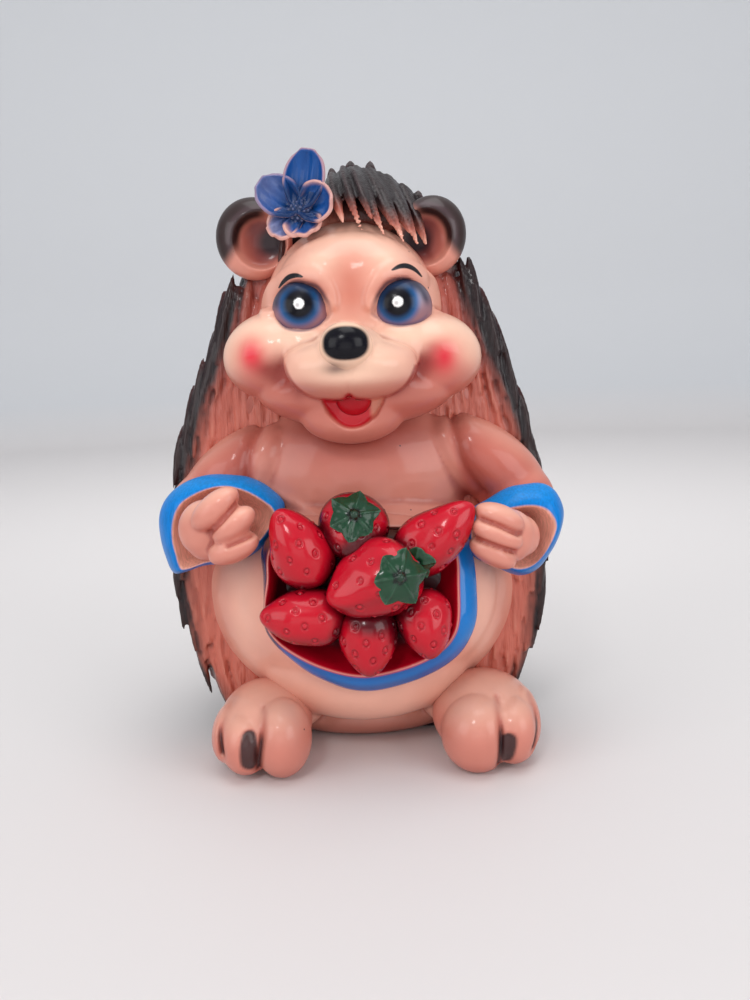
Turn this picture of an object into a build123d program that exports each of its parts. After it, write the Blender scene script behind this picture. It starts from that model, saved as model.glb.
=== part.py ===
from build123d import *
import os
from math import asin, cos, pi, sin, tan

# A painted plaster hedgehog figurine that sits up and holds strawberries in its lifted apron.
# Millimetres. +X is the viewer's right, -Y is the front, +Z is up, and the ground is Z = 0.
# Left and right are the viewer's. The casting is hollow, with one cavity that is open below.

# Plaster casting
wall = 7.0  # plaster left round the cavity
front_edge = 25.0  # how far the quilled back reaches forward of the origin
pour_width = 96.0  # the hole under the figure that the plaster was poured through
pour_depth = 56.0
window_inset = 18.0  # how far the openings in the front wall lie inside head, chest and belly
overrun = 30.0  # how far a cutting tool runs past what it cuts
scrap_size = 8.0  # what is cut loose is left out if it holds less than a cube of this size
lump_sides = 16  # facets round a large rounded form
small_sides = 12  # facets round a small one

# Quilled back
back_height = 312.0
back_width = 214.0
back_depth = 186.0
back_rear = 8.0  # how far its middle lies behind the origin
quill_pitch = 14.0  # spacing of the quills round a row
quill_length = 15.6  # spacing of the rows
quill_rise = 4.5  # how far a tip stands off the roots
quill_groove = 3.0  # how deep the roots sink between two quills
quill_lap = 1.2  # height of the step under a row of tips
cavity_facets = 13
back_turn_share = 0.97  # limits how far the top rows reach round to the front
back_height_shares = (0.0, 0.05, 0.14, 0.22, 0.35, 0.48, 0.60, 0.70, 0.80, 0.89, 0.955, 1.0)
back_width_shares = (0.74, 0.80, 0.92, 0.99, 1.0, 0.965, 0.87, 0.76, 0.66, 0.56, 0.42, 0.20)

# Fur between the quilled back and the belly
fur_layers = 3
fur_step = 4.5  # thickness of a layer
fur_setback = 6.0  # how far a layer's tips lie inside the layer behind
fur_length = 19.0  # spacing of the tufts down the side
fur_tip = 8.0  # how far a tuft stands out of the notch above it
fur_width = 50.0
fur_notch_share = 0.15
fur_top_share = 0.84

# Belly and chest
belly_width = 180.0
belly_depth = 132.0
belly_height = 148.0
belly_clear = 12.0  # belly's underside over the ground
belly_forward = 14.0
chest_width = 140.0
chest_depth = 92.0
chest_height = 104.0
chest_rise = 64.0  # chest's middle over the belly's middle
chest_forward = 16.0
pad_width = 108.0  # foot of the casting between the two feet
pad_depth = 76.0
pad_height = 26.0

# Head
skull_width = 94.0
skull_depth = 100.0
skull_height = 100.0
skull_rise = 90.0  # skull's middle over the chest's middle
skull_forward = 25.0
cheek_size = 54.0
cheek_shape_shares = (0.50, 0.50, 0.44)
cheek_place_shares = (0.404, -0.270, -0.230)
brow_size = 76.0
brow_shape_shares = (0.50, 0.37, 0.37)
brow_place_shares = (0.0, -0.210, 0.110)
lid_size = 40.0  # swelling under each eye
lid_shape_shares = (0.50, 0.45, 0.35)
lid_place_shares = (0.255, -0.350, -0.180)
muzzle_size = 68.0
muzzle_shape_shares = (0.50, 0.35, 0.22)
muzzle_place_shares = (-0.010, -0.520, -0.305)
bridge_size = 42.0  # between the eyes and the nose
bridge_shape_shares = (0.40, 0.50, 0.32)
bridge_place_shares = (-0.010, -0.540, -0.225)
jaw_size = 100.0
jaw_shape_shares = (0.50, 0.28, 0.20)
jaw_place_shares = (0.0, -0.290, -0.410)
chin_size = 52.0
chin_shape_shares = (0.50, 0.38, 0.29)
chin_place_shares = (-0.010, -0.370, -0.540)
mouth_size = 30.0
mouth_shape_shares = (0.50, 0.60, 0.42)
mouth_place_shares = (0.0, -0.590, -0.488)
tongue_size = 22.0
tongue_shape_shares = (0.42, 0.70, 0.30)
tongue_place_shares = (0.0, -0.540, -0.545)
nose_width = 24.5
nose_depth = 18.0
nose_height = 21.0
nose_place_shares = (-0.010, -0.730, -0.200)
eye_width = 27.0
eye_depth = 18.0
eye_height = 28.0
eye_place_shares = (0.260, -0.425, 0.0)

# Ears, one at each side of the head
ear_width = 41.0
ear_depth = 26.0
ear_height = 43.0
ear_rim = 6.0
ear_floor = 8.0
left_ear_place_shares = (-0.500, -0.060, 0.375)
right_ear_place_shares = (0.445, -0.060, 0.375)

# Sleeves, with a painted border round the mouth of each cuff
arm_length = 76.0
arm_thick = 42.0
left_arm_place_shares = (-0.486, -0.240, 0.040)
right_arm_place_shares = (0.507, -0.240, 0.060)
arm_slope = 37.0  # degrees down from the shoulder to the elbow
cuff_width = 54.0  # across the mouth
cuff_root_width = 40.0
cuff_length = 30.0
cuff_lip = 4.0
cuff_recess = 12.0
border_width = 8.0
left_cuff_place_shares = (-0.580, -0.470, -0.200)
left_cuff_aim = (0.42, -0.90, 0.14)
right_cuff_place_shares = (0.584, -0.470, -0.215)
right_cuff_aim = (-0.42, -0.90, 0.10)

# Fists that grip the hem of the apron
fist_width = 31.0
fist_depth = 27.0
fist_height = 34.0
fist_reach = 21.0  # how far the fist's middle lies beyond the cuff's mouth
wrist_width = 26.0
finger_length = 28.0
finger_slope = 32.0  # degrees down from the tips to the knuckles
finger_shape_shares = (0.50, 0.33, 0.26)
finger_place_shares = ((0.14, -0.28, 0.36), (0.34, -0.34, 0.08), (0.36, -0.32, -0.22))

# Apron, lifted to make a pouch
pouch_width = 118.0
pouch_depth = 68.0
pouch_height = 104.0
pouch_place_shares = (0.022, -0.390, 0.090)
lining_width = 108.0
lining_depth = 42.0
lining_height = 96.0
lining_forward = 28.0  # how far the lining's middle lies ahead of the pouch's middle
lining_rise = 5.0
pouch_top_share = 0.18
hem_depth = 9.0  # how far back the hem reaches from the front of the pouch
hem_thick = 1.6

# Strawberries. Each has the place of its middle, its size and the way that its tip points.
berry_length = 36.0
berry_width = 32.0
berry_profile_shares = (
    (0.24, -0.50), (0.45, -0.36), (0.50, -0.14), (0.42, 0.12), (0.24, 0.38), (0.07, 0.50)
)
berry_table_shares = {
    "strawberry_front": ((0.043, -0.330, 0.096), 1.14, (-1.0, -0.10, -0.12)),
    "strawberry_top": ((-0.069, -0.270, 0.308), 1.00, (0.0, 0.50, -0.86)),
    "strawberry_upper_left": ((-0.280, -0.310, 0.230), 0.98, (-0.45, 0.15, 0.88)),
    "strawberry_upper_right": ((0.300, -0.300, 0.250), 1.02, (0.66, 0.10, 0.74)),
    "strawberry_bottom": ((-0.009, -0.330, -0.210), 0.90, (0.0, -0.75, -0.66)),
    "strawberry_lower_left": ((-0.290, -0.310, -0.090), 0.98, (-1.0, -0.10, 0.15)),
    "strawberry_lower_right": ((0.235, -0.310, -0.160), 0.90, (0.20, -0.80, -0.50)),
}
leafy_berries = ("strawberry_front", "strawberry_top", "strawberry_upper_right")
leaf_thick = 1.8
leaf_points = 6
leaf_reach_share = 0.52
leaf_notch_share = 0.20
leaf_depth_share = 0.30

# Flower by the ear
petal_count = 5
petal_length = 26.0
petal_width = 21.0
petal_cup = 12.0
petal_thick = 3.0
petal_reach = 12.5  # petal's middle to the flower's middle
petal_rim = 5.0  # height of a petal's edge
petal_gap = 0.4  # between two petals
petal_turn = 76.0  # degrees
button_width = 11.0
button_height = 5.0
stalk_width = 15.0
stalk_length = 20.0
flower_place_shares = (-0.250, -0.210, 0.510)
flower_aim = (-0.10, -0.92, 0.36)

# Crown: tufts that fall on the forehead, and spikes that stand up behind them
tuft_width = 12.0
tuft_thick = 9.0
tuft_point_share = 0.16
tuft_root_shares = (
    (-0.22, 0.02, 0.58), (-0.11, 0.0, 0.62), (0.02, 0.0, 0.64),
    (0.15, 0.0, 0.63), (0.28, 0.0, 0.60), (0.38, 0.02, 0.54),
)
tuft_tip_shares = (
    (-0.17, -0.33, 0.37), (-0.07, -0.36, 0.36), (0.06, -0.37, 0.34),
    (0.18, -0.35, 0.33), (0.29, -0.31, 0.30), (0.36, -0.24, 0.30),
)
spike_root_shares = ((-0.02, -0.04, 0.57), (0.11, -0.04, 0.58), (0.26, -0.04, 0.54))
spike_tip_shares = ((0.0, -0.03, 0.794), (0.15, -0.03, 0.794), (0.33, -0.03, 0.68))
crown_width = 76.0  # cap that the tufts grow from
crown_depth = 34.0
crown_height = 22.0
crown_place_shares = (0.08, -0.02, 0.55)

# Feet
foot_width = 54.0
foot_depth = 72.0
foot_height = 42.0
foot_sink = 1.5  # plaster ground off the sole
left_foot_place_shares = (-0.305, -0.360)
right_foot_place_shares = (0.365, -0.345)
instep_shape_shares = (0.47, 0.44, 0.49)
instep_place_shares = (0.0, 0.060, 0.010)
toe_shape_shares = ((0.30, 0.25, 0.45), (0.25, 0.24, 0.40), (0.17, 0.22, 0.35))  # from the inner toe out
toe_place_shares = ((0.20, -0.235, 0.0), (-0.16, -0.190, -0.045), (-0.345, -0.050, -0.045))


def at(centre, size, shares):
    return tuple(c + s * share for c, s, share in zip(centre, size, shares))


def radii(size, shares):
    return tuple(size * share for share in shares)


def of(size, shares):
    return tuple(s * share for s, share in zip(size, shares))


def halves(size, less=0):
    return tuple(length / 2 - less for length in size)


def mirrored(shares):
    return (-shares[0], *shares[1:])


belly_size = (belly_width, belly_depth, belly_height)
belly_centre = (0, -belly_forward, belly_clear + belly_height / 2)
chest_size = (chest_width, chest_depth, chest_height)
chest_centre = (0, -chest_forward, belly_centre[2] + chest_rise)
skull_size = (skull_width, skull_depth, skull_height)
skull_centre = (0, -skull_forward, chest_centre[2] + skull_rise)
pouch_size = (pouch_width, pouch_depth, pouch_height)
pouch_centre = at(belly_centre, belly_size, pouch_place_shares)
sides = {"left": -1, "right": 1}
row_count = round(back_height / quill_length)
quill_count = 2 * round(back_width * pi / quill_pitch / 3)
front_plane = Plane.XZ.offset(front_edge)


# A solid of flat facets through rings of the given radii and heights
def faceted(rings, sides):
    with BuildPart(mode=Mode.PRIVATE) as lump:
        for across, along, z in rings:
            with BuildSketch(Plane.XY.offset(z)):
                angles = [2 * pi * (step + 0.5) / sides for step in range(sides)]
                Polygon(*[(across * cos(angle), along * sin(angle)) for angle in angles], align=None)
        loft(ruled=True)
    return lump.part


def ellipsoid(centre, radii, turn=(0, 0, 0), sides=lump_sides):
    rings = []
    ring_count = sides // 2
    for ring in range(1, ring_count):
        angle = pi * (ring / ring_count - 0.5)
        rings.append((radii[0] * cos(angle), radii[1] * cos(angle), radii[2] * sin(angle)))
    return Location(centre, turn) * faceted(rings, sides)


def width_share(z):
    height_share = min(z / back_height, 1)
    for low, high, narrow, wide in zip(
        back_height_shares, back_height_shares[1:], back_width_shares, back_width_shares[1:]
    ):
        if height_share <= high:
            return narrow + (wide - narrow) * (height_share - low) / (high - low)


def half_width(z):
    return back_width / 2 * width_share(z)


def half_depth(z):
    return back_depth / 2 * width_share(z)


# Points of one level of the quilled back, from its front edge round the rear to the other front edge
def back_outline(z, front, outs):
    share = width_share(z)
    across = half_width(z)
    along = half_depth(z)
    start = -asin(min((front + back_rear) / (along + outs[0] * share), back_turn_share))
    points = []
    for step, out in enumerate(outs):
        angle = start + (pi - 2 * start) * step / (len(outs) - 1)
        points.append(((across + out * share) * cos(angle), back_rear + (along + out * share) * sin(angle)))
    return points


def quill_outs(row, tip):
    ring = [tip if step % 2 == row % 2 else -quill_groove for step in range(1, quill_count)]
    return [0, *ring, 0]


# A tapering quill of diamond section
def spike(root, tip, width, thick):
    with BuildPart(mode=Mode.PRIVATE) as quill:
        for end, share in ((root, 1), (tip, tuft_point_share)):
            with BuildSketch(Plane(end, x_dir=(1, 0, 0), z_dir=Vector(tip) - Vector(root))):
                across = width / 2 * share
                along = thick / 2 * share
                Polygon((-across, 0), (0, -along), (across, 0), (0, along), align=None)
        loft()
    return quill.part


# A strawberry about Z with its tip up
def strawberry(size, skin=0):
    rings = []
    for across, along in berry_profile_shares:
        radius = berry_width * size * across + skin
        rings.append((radius, radius, (berry_length * size + 2 * skin) * along))
    return faceted(rings, small_sides)


# Solid lumps that the finished pieces are cut from
with BuildPart() as head_lumps:
    add(ellipsoid(skull_centre, halves(skull_size)))
    for shares, size, shape_shares in (
        (cheek_place_shares, cheek_size, cheek_shape_shares),
        (mirrored(cheek_place_shares), cheek_size, cheek_shape_shares),
        (jaw_place_shares, jaw_size, jaw_shape_shares),
        (chin_place_shares, chin_size, chin_shape_shares),
        (brow_place_shares, brow_size, brow_shape_shares),
        (bridge_place_shares, bridge_size, bridge_shape_shares),
        (lid_place_shares, lid_size, lid_shape_shares),
        (mirrored(lid_place_shares), lid_size, lid_shape_shares),
        (muzzle_place_shares, muzzle_size, muzzle_shape_shares),
        (mirrored(muzzle_place_shares), muzzle_size, muzzle_shape_shares),
    ):
        add(ellipsoid(at(skull_centre, skull_size, shares), radii(size, shape_shares)))
    split(bisect_by=front_plane, keep=Keep.TOP)

with BuildPart() as torso_lumps:
    add(ellipsoid(belly_centre, halves(belly_size)))
    add(ellipsoid(chest_centre, halves(chest_size)))
    with BuildSketch(Plane.XY):
        Ellipse(pad_width / 2, pad_depth / 2)
    extrude(amount=pad_height)
    split(bisect_by=front_plane, keep=Keep.TOP)

pieces = []


def finish(piece, label):
    piece.label = label
    pieces.append(piece)
    print(label, round(piece.volume), len(piece.solids()), len(piece.faces()), piece.is_valid, flush=True)


# Cut what is being built back from the neighbours that it reaches
def trim(builder, neighbours):
    for neighbour in neighbours:
        box = builder.part.bounding_box()
        other = neighbour.bounding_box()
        if all(a < b for a, b in zip(tuple(box.min) + tuple(other.min), tuple(other.max) + tuple(box.max))):
            add(neighbour, mode=Mode.SUBTRACT)


# Drop the scraps that trimming cuts loose
def drop_scraps(builder):
    add([solid for solid in builder.solids() if solid.volume > scrap_size**3], mode=Mode.REPLACE)


# Quilled back: rows of quills, each row stepping out over the one below
with BuildPart() as quill_coat:
    for row in range(row_count):
        foot = back_height * row / row_count
        top = back_height * (row + 1) / row_count
        with BuildSketch(Plane.XY.offset(foot + (quill_lap if row else 0))):
            Polygon(*back_outline(foot, front_edge, quill_outs(row, quill_rise)), align=None)
        with BuildSketch(Plane.XY.offset(top)):
            Polygon(*back_outline(top, front_edge, quill_outs(row, 0)), align=None)
    loft(ruled=True)
    with BuildPart(mode=Mode.PRIVATE) as back_cavity:
        for share in back_height_shares[:-1:2]:
            z = max(share * back_height, wall)
            less = (wall + quill_groove) / width_share(z)
            with BuildSketch(Plane.XY.offset(z)):
                Polygon(*back_outline(z, front_edge - wall, [-less] * cavity_facets), align=None)
        loft(ruled=True)
    add(back_cavity.part, mode=Mode.SUBTRACT)
    with BuildSketch(Plane.XY):
        with Locations((0, back_rear)):
            Ellipse(pour_width / 2, pour_depth / 2)
    extrude(amount=overrun, mode=Mode.SUBTRACT)
    with BuildSketch(front_plane):
        hollows = ((belly_centre, belly_size), (chest_centre, chest_size), (skull_centre, skull_size))
        for centre, size in hollows:
            with Locations((0, centre[2])):
                Ellipse(size[0] / 2 - window_inset, size[2] / 2 - window_inset)
    extrude(amount=-overrun, mode=Mode.SUBTRACT)
finish(quill_coat.part, "quill_coat")

# Head: a hollow face with sockets for what is set in it
with BuildPart() as head_shell:
    add(head_lumps.part)
    add(ellipsoid(skull_centre, halves(skull_size, wall)), mode=Mode.SUBTRACT)

eye_size = (eye_width, eye_depth, eye_height)
eyes = {}
for side, sign in sides.items():
    place = at(skull_centre, skull_size, (sign * eye_place_shares[0], *eye_place_shares[1:]))
    with BuildPart() as eye:
        add(ellipsoid(place, halves(eye_size), sides=small_sides))
    eyes[side] = eye.part
with BuildPart() as nose:
    nose_place = at(skull_centre, skull_size, nose_place_shares)
    add(ellipsoid(nose_place, halves((nose_width, nose_depth, nose_height)), sides=small_sides))
mouth_place = at(skull_centre, skull_size, mouth_place_shares)
mouth = ellipsoid(mouth_place, radii(mouth_size, mouth_shape_shares), sides=small_sides)
with head_shell:
    add([mouth], mode=Mode.SUBTRACT)
    add([nose.part], mode=Mode.SUBTRACT)
    for eye in eyes.values():
        add([eye], mode=Mode.SUBTRACT)
with BuildPart() as tongue:
    tongue_place = at(skull_centre, skull_size, tongue_place_shares)
    add(ellipsoid(tongue_place, radii(tongue_size, tongue_shape_shares), sides=small_sides))
    add(mouth, mode=Mode.INTERSECT)
finish(head_shell.part, "head_shell")
finish(nose.part, "nose")
finish(tongue.part, "tongue")
for side, eye in eyes.items():
    finish(eye, f"{side}_eye")

# Ears: cups with a thick rim
ears = {}
ear_size = (ear_width, ear_depth, ear_height)
for side, shares in (("left", left_ear_place_shares), ("right", right_ear_place_shares)):
    x, y, z = at(skull_centre, skull_size, shares)
    with BuildPart() as ear:
        add(ellipsoid((x, y, z), halves(ear_size)))
        split(bisect_by=front_plane, keep=Keep.TOP)
        cup_radii = (ear_width / 2 - ear_rim, ear_depth / 2, ear_height / 2 - ear_rim)
        add(ellipsoid((x, y - ear_floor, z), cup_radii), mode=Mode.SUBTRACT)
        add(head_lumps.part, mode=Mode.SUBTRACT)
    ears[side] = ear.part
    finish(ear.part, f"{side}_ear")

# Belly and chest
with BuildPart() as torso_shell:
    add(torso_lumps.part)
    add(head_lumps.part, mode=Mode.SUBTRACT)
    add(ellipsoid(belly_centre, halves(belly_size, wall)), mode=Mode.SUBTRACT)
    add(ellipsoid(chest_centre, halves(chest_size, wall)), mode=Mode.SUBTRACT)
finish(torso_shell.part, "torso_shell")

# Sleeves with bell cuffs, their painted borders, and the fists in them
sleeves = {}
fists = {}
arm_places = {"left": left_arm_place_shares, "right": right_arm_place_shares}
cuff_places = {"left": left_cuff_place_shares, "right": right_cuff_place_shares}
cuff_aims = {"left": left_cuff_aim, "right": right_cuff_aim}
fist_size = (fist_width, fist_depth, fist_height)
for side, sign in sides.items():
    mouth_plane = Plane(
        at(chest_centre, chest_size, cuff_places[side]), x_dir=(1, 0, 0), z_dir=cuff_aims[side]
    )
    arm_place = at(chest_centre, chest_size, arm_places[side])
    with BuildPart() as sleeve:
        add(ellipsoid(arm_place, halves((arm_length, arm_thick, arm_thick)), (0, sign * arm_slope, 0)))
        with BuildSketch(mouth_plane.offset(-cuff_length)):
            Circle(cuff_root_width / 2)
        with BuildSketch(mouth_plane):
            Circle(cuff_width / 2)
        loft()
        split(bisect_by=front_plane, keep=Keep.TOP)
        add(torso_lumps.part, mode=Mode.SUBTRACT)
        with BuildSketch(mouth_plane):
            Circle(cuff_width / 2)
        extrude(amount=overrun, mode=Mode.SUBTRACT)
        with BuildSketch(mouth_plane):
            Circle(cuff_width / 2 - cuff_lip)
        extrude(amount=-cuff_recess, mode=Mode.SUBTRACT)
    with BuildPart() as border:
        with BuildSketch(mouth_plane):
            Circle(cuff_width / 2)
            Circle(cuff_width / 2 - cuff_lip, mode=Mode.SUBTRACT)
        extrude(amount=border_width)
        add(torso_lumps.part, mode=Mode.SUBTRACT)
    with BuildPart() as fist:
        knuckles = tuple(mouth_plane.offset(fist_reach).origin)
        add(ellipsoid(knuckles, halves(fist_size)))
        for shares in finger_place_shares:
            finger_place = at(knuckles, fist_size, (-sign * shares[0], *shares[1:]))
            finger_radii = radii(finger_length, finger_shape_shares)
            add(ellipsoid(finger_place, finger_radii, (0, sign * finger_slope, 0), small_sides))
        with BuildSketch(mouth_plane.offset(-cuff_recess)):
            Circle(wrist_width / 2)
        extrude(amount=cuff_recess + fist_reach)
        add(border.part, mode=Mode.SUBTRACT)
        add(sleeve.part, mode=Mode.SUBTRACT)
        add(torso_lumps.part, mode=Mode.SUBTRACT)
    sleeves[side] = sleeve.part
    fists[side] = fist.part
    finish(sleeve.part, f"{side}_sleeve")
    finish(border.part, f"{side}_cuff_border")
    finish(fist.part, f"{side}_fist")

# Apron: a pouch in front of the belly, lined, with a painted hem under its edge
lining_centre = (pouch_centre[0], pouch_centre[1] - lining_forward, pouch_centre[2] + lining_rise)
lining = ellipsoid(lining_centre, halves((lining_width, lining_depth, lining_height)))
pouch_front = pouch_centre[1] - pouch_depth / 2
with BuildPart() as apron_pouch:
    add(ellipsoid(pouch_centre, halves(pouch_size)))
    add(torso_lumps.part, mode=Mode.SUBTRACT)
    add(lining, mode=Mode.SUBTRACT)
    for fist in fists.values():
        add(fist, mode=Mode.SUBTRACT)
    split(bisect_by=Plane.XY.offset(pouch_centre[2] + pouch_height * pouch_top_share), keep=Keep.BOTTOM)
finish(apron_pouch.part, "apron_pouch")
with BuildPart() as apron_hem:
    add(ellipsoid(pouch_centre, halves(pouch_size, -hem_thick)))
    add(ellipsoid(pouch_centre, halves(pouch_size)), mode=Mode.SUBTRACT)
    add(lining, mode=Mode.SUBTRACT)
    split(bisect_by=Plane.XZ.offset(-pouch_front - hem_depth), keep=Keep.TOP)
    split(bisect_by=Plane.XY.offset(pouch_centre[2]), keep=Keep.BOTTOM)
    add(torso_lumps.part, mode=Mode.SUBTRACT)
finish(apron_hem.part, "apron_hem")

# Strawberries that lie against each other in the pouch
berries = []
for label, (shares, size, tip) in berry_table_shares.items():
    plane = Plane(at(pouch_centre, pouch_size, shares), z_dir=tip)
    with BuildPart() as berry:
        add(plane.location * strawberry(size))
        trim(berry, [torso_lumps.part, apron_pouch.part, apron_hem.part, *fists.values(), *berries])
    berries.append(berry.part)
    finish(berry.part, label)
    if label in leafy_berries:
        with BuildPart() as leaves:
            with BuildSketch(Plane.XY.offset(-berry_length * size)):
                points = []
                for step in range(2 * leaf_points):
                    reach = berry_width * size * (leaf_notch_share if step % 2 else leaf_reach_share)
                    angle = pi * step / leaf_points
                    points.append((reach * cos(angle), reach * sin(angle)))
                Polygon(*points, align=None)
            extrude(amount=berry_length * size * (1 - leaf_depth_share))
            with BuildPart(mode=Mode.PRIVATE) as skin:
                add(strawberry(size, leaf_thick))
                add(strawberry(size), mode=Mode.SUBTRACT)
            add(skin.part, mode=Mode.INTERSECT)
        with BuildPart() as calyx:
            add(plane.location * leaves.part)
            trim(calyx, [torso_lumps.part, apron_pouch.part, *fists.values(), *berries])
            add(calyx.solids().sort_by(SortBy.VOLUME)[-1], mode=Mode.INTERSECT)
        berries.append(calyx.part)
        finish(calyx.part, f"{label}_calyx")

# Feet with three toes and the clefts of their claws
feet = {}
foot_size = (foot_width, foot_depth, foot_height)
for side, shares in (("left", left_foot_place_shares), ("right", right_foot_place_shares)):
    foot_centre = (
        belly_centre[0] + belly_width * shares[0],
        belly_centre[1] + belly_depth * shares[1],
        foot_height / 2 - foot_sink,
    )
    with BuildPart() as foot:
        add(ellipsoid(at(foot_centre, foot_size, instep_place_shares), of(foot_size, instep_shape_shares)))
        for place_shares, shape_shares in zip(toe_place_shares, toe_shape_shares):
            toe_place = at(foot_centre, foot_size, (-sides[side] * place_shares[0], *place_shares[1:]))
            add(ellipsoid(toe_place, of(foot_size, shape_shares), sides=small_sides))
        split(bisect_by=Plane.XY, keep=Keep.TOP)
        split(bisect_by=front_plane, keep=Keep.TOP)
        add(torso_lumps.part, mode=Mode.SUBTRACT)
    feet[side] = foot.part
    finish(foot.part, f"{side}_foot")

# Fur: layers of tufts whose tips point down and out
for side, sign in sides.items():
    with BuildPart() as fur:
        for layer in range(fur_layers):
            tuft_count = round(back_height * fur_top_share / fur_length)
            edge = []
            for tuft in range(tuft_count):
                for lift, inward in ((0, 0), (1 - fur_notch_share, fur_tip)):
                    z = fur_length * (tuft + lift + (0.5 if layer % 2 else 0))
                    edge.append((sign * (half_width(z) - inward - fur_setback * layer), z))
            inner = [(sign * (half_width(z) - fur_width), z) for z in (edge[-1][1], 0)]
            floor_point = (sign * (half_width(0) - fur_setback * layer), 0)
            with BuildSketch(front_plane):
                Polygon(*((floor_point,) if layer % 2 else ()), *edge, *inner, align=None)
            extrude(amount=fur_step * (layer + 1))
        trim(fur, [torso_lumps.part, head_lumps.part, ears[side], sleeves[side], feet[side]])
        drop_scraps(fur)
    finish(fur.part, f"{side}_fur")

# Crown: falling tufts and standing spikes
with BuildPart() as crown_tufts:
    crown_size = (crown_width, crown_depth, crown_height)
    add(ellipsoid(at(skull_centre, skull_size, crown_place_shares), halves(crown_size)))
    for root, tip in zip(tuft_root_shares, tuft_tip_shares):
        ends = [at(skull_centre, skull_size, shares) for shares in (root, tip)]
        add(spike(*ends, tuft_width, tuft_thick))
    for root, tip in zip(spike_root_shares, spike_tip_shares):
        ends = [at(skull_centre, skull_size, shares) for shares in (root, tip)]
        add(spike(*ends, tuft_width, tuft_thick))
    split(bisect_by=front_plane, keep=Keep.TOP)
    trim(crown_tufts, [head_lumps.part, *ears.values()])
    drop_scraps(crown_tufts)
finish(crown_tufts.part, "crown_tufts")

# Flower: cupped petals round a button on a short stalk
flower_plane = Plane(at(skull_centre, skull_size, flower_place_shares), x_dir=(1, 0, 0), z_dir=flower_aim)
with BuildPart() as flower_button:
    with BuildSketch(flower_plane.offset(-stalk_length)):
        Circle(stalk_width / 2)
    with BuildSketch(flower_plane):
        Circle(button_width / 2)
    loft()
    add(flower_plane.location * ellipsoid((0, 0, 0), (button_width / 2, button_width / 2, button_height)))
    split(bisect_by=front_plane, keep=Keep.TOP)
    trim(flower_button, [head_lumps.part, crown_tufts.part, *ears.values()])
finish(flower_button.part, "flower_button")
petals = []
for number in range(petal_count):
    turn = Location((0, 0, 0), (0, 0, petal_turn + 360 * number / petal_count))
    with BuildPart() as petal:
        bowl_radii = (petal_length / 2, petal_width / 2, petal_cup)
        with BuildPart(mode=Mode.PRIVATE) as bowl:
            with BuildSketch(Plane.XY.offset(-petal_thick)):
                edge = petal_length * 2
                side = edge * tan(pi / petal_count) - petal_gap
                Polygon((petal_gap, 0), (edge, -side), (edge, side), align=None)
            extrude(amount=petal_thick + petal_rim)
            add(ellipsoid((petal_reach, 0, petal_cup - petal_thick), bowl_radii), mode=Mode.INTERSECT)
            add(ellipsoid((petal_reach, 0, petal_cup), bowl_radii), mode=Mode.SUBTRACT)
        add(flower_plane.location * turn * bowl.part)
        trim(petal, [flower_button.part, head_lumps.part, crown_tufts.part, *ears.values()])
    petals.append(petal.part)
    finish(petal.part, f"petal_{number + 1}")

os.makedirs("parts", exist_ok=True)
for piece in pieces:
    export_step(piece, f"parts/{piece.label}.step")
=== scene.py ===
import random
from math import cos, pi, radians, sin

import bmesh
import bpy
import numpy as np
from mathutils import Euler, Matrix, Vector
from mathutils.bvhtree import BVHTree


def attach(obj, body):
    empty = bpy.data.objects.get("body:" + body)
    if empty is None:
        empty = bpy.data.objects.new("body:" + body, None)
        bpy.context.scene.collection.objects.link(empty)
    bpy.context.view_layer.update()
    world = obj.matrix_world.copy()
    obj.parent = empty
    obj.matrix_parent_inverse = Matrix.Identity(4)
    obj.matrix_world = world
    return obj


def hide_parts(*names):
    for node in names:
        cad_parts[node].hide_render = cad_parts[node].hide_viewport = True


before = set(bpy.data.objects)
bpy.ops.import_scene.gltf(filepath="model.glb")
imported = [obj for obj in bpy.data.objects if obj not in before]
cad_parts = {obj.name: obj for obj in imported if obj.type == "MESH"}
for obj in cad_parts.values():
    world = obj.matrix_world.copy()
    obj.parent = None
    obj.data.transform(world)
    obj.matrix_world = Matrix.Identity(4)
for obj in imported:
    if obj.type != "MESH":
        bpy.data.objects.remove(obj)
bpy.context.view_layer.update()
mm = 0.001
random.seed(7)
noise = np.random.default_rng(7)

# Glossy painted plaster hedgehog. Places and sizes in the dictionaries are in millimetres.
paintBox = {
    "skin": "DB9280", "skinLight": "F3BBA4", "skinDeep": "B65648", "skinShade": "8E3028",
    "cream": "F0C8AE", "furrow": "C66852", "blush": "E0283A", "nose": "07050F", "smudgeAndShade": "4A3134",
    "mouth": "C01826", "tongue": "AE0E1C", "mouthDark": "5E0612", "lips": "D58B74",
    "coat": "150C10", "coatLight": "6A5159", "furSalmon": "C66A58", "furRust": "8E3B33",
    "furGroove": "5A1A18", "furLight": "E8A78F",
    "blue": "0076C6", "blueLight": "1E97DE", "blueDeep": "1A559E", "rim": "E9AFA0",
    "berry": "BC0620", "berryDark": "38020C", "berryLight": "E22C44", "leaf": "163E27", "leafDark": "050D0A",
    "leafLight": "5A8A6C", "petal": "0B4A90", "petalDeep": "06244E", "petalEdge": "E2A793",
    "petalLilac": "8E8FB0",
    "iris": "0F5A94", "slate": "2A2D40", "sclera": "946C74", "eyeLight": "B9B4C6", "eyeRim": "6A5B78",
    "white": "F4F4F4", "claw": "1E1119", "earInner": "B4584A", "earDeep": "6B2E2E", "earDark": "1C0312",
}


def colour(name):
    code = paintBox[name]
    parts = [int(code[at:at + 2], 16) / 255 for at in (0, 2, 4)]
    return np.array([part / 12.92 if part < 0.04045 else ((part + 0.055) / 1.055) ** 2.4 for part in parts])


def ease(value, low, high):
    share = np.clip((value - low) / (high - low), 0, 1)
    return share * share * (3 - 2 * share)


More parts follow.
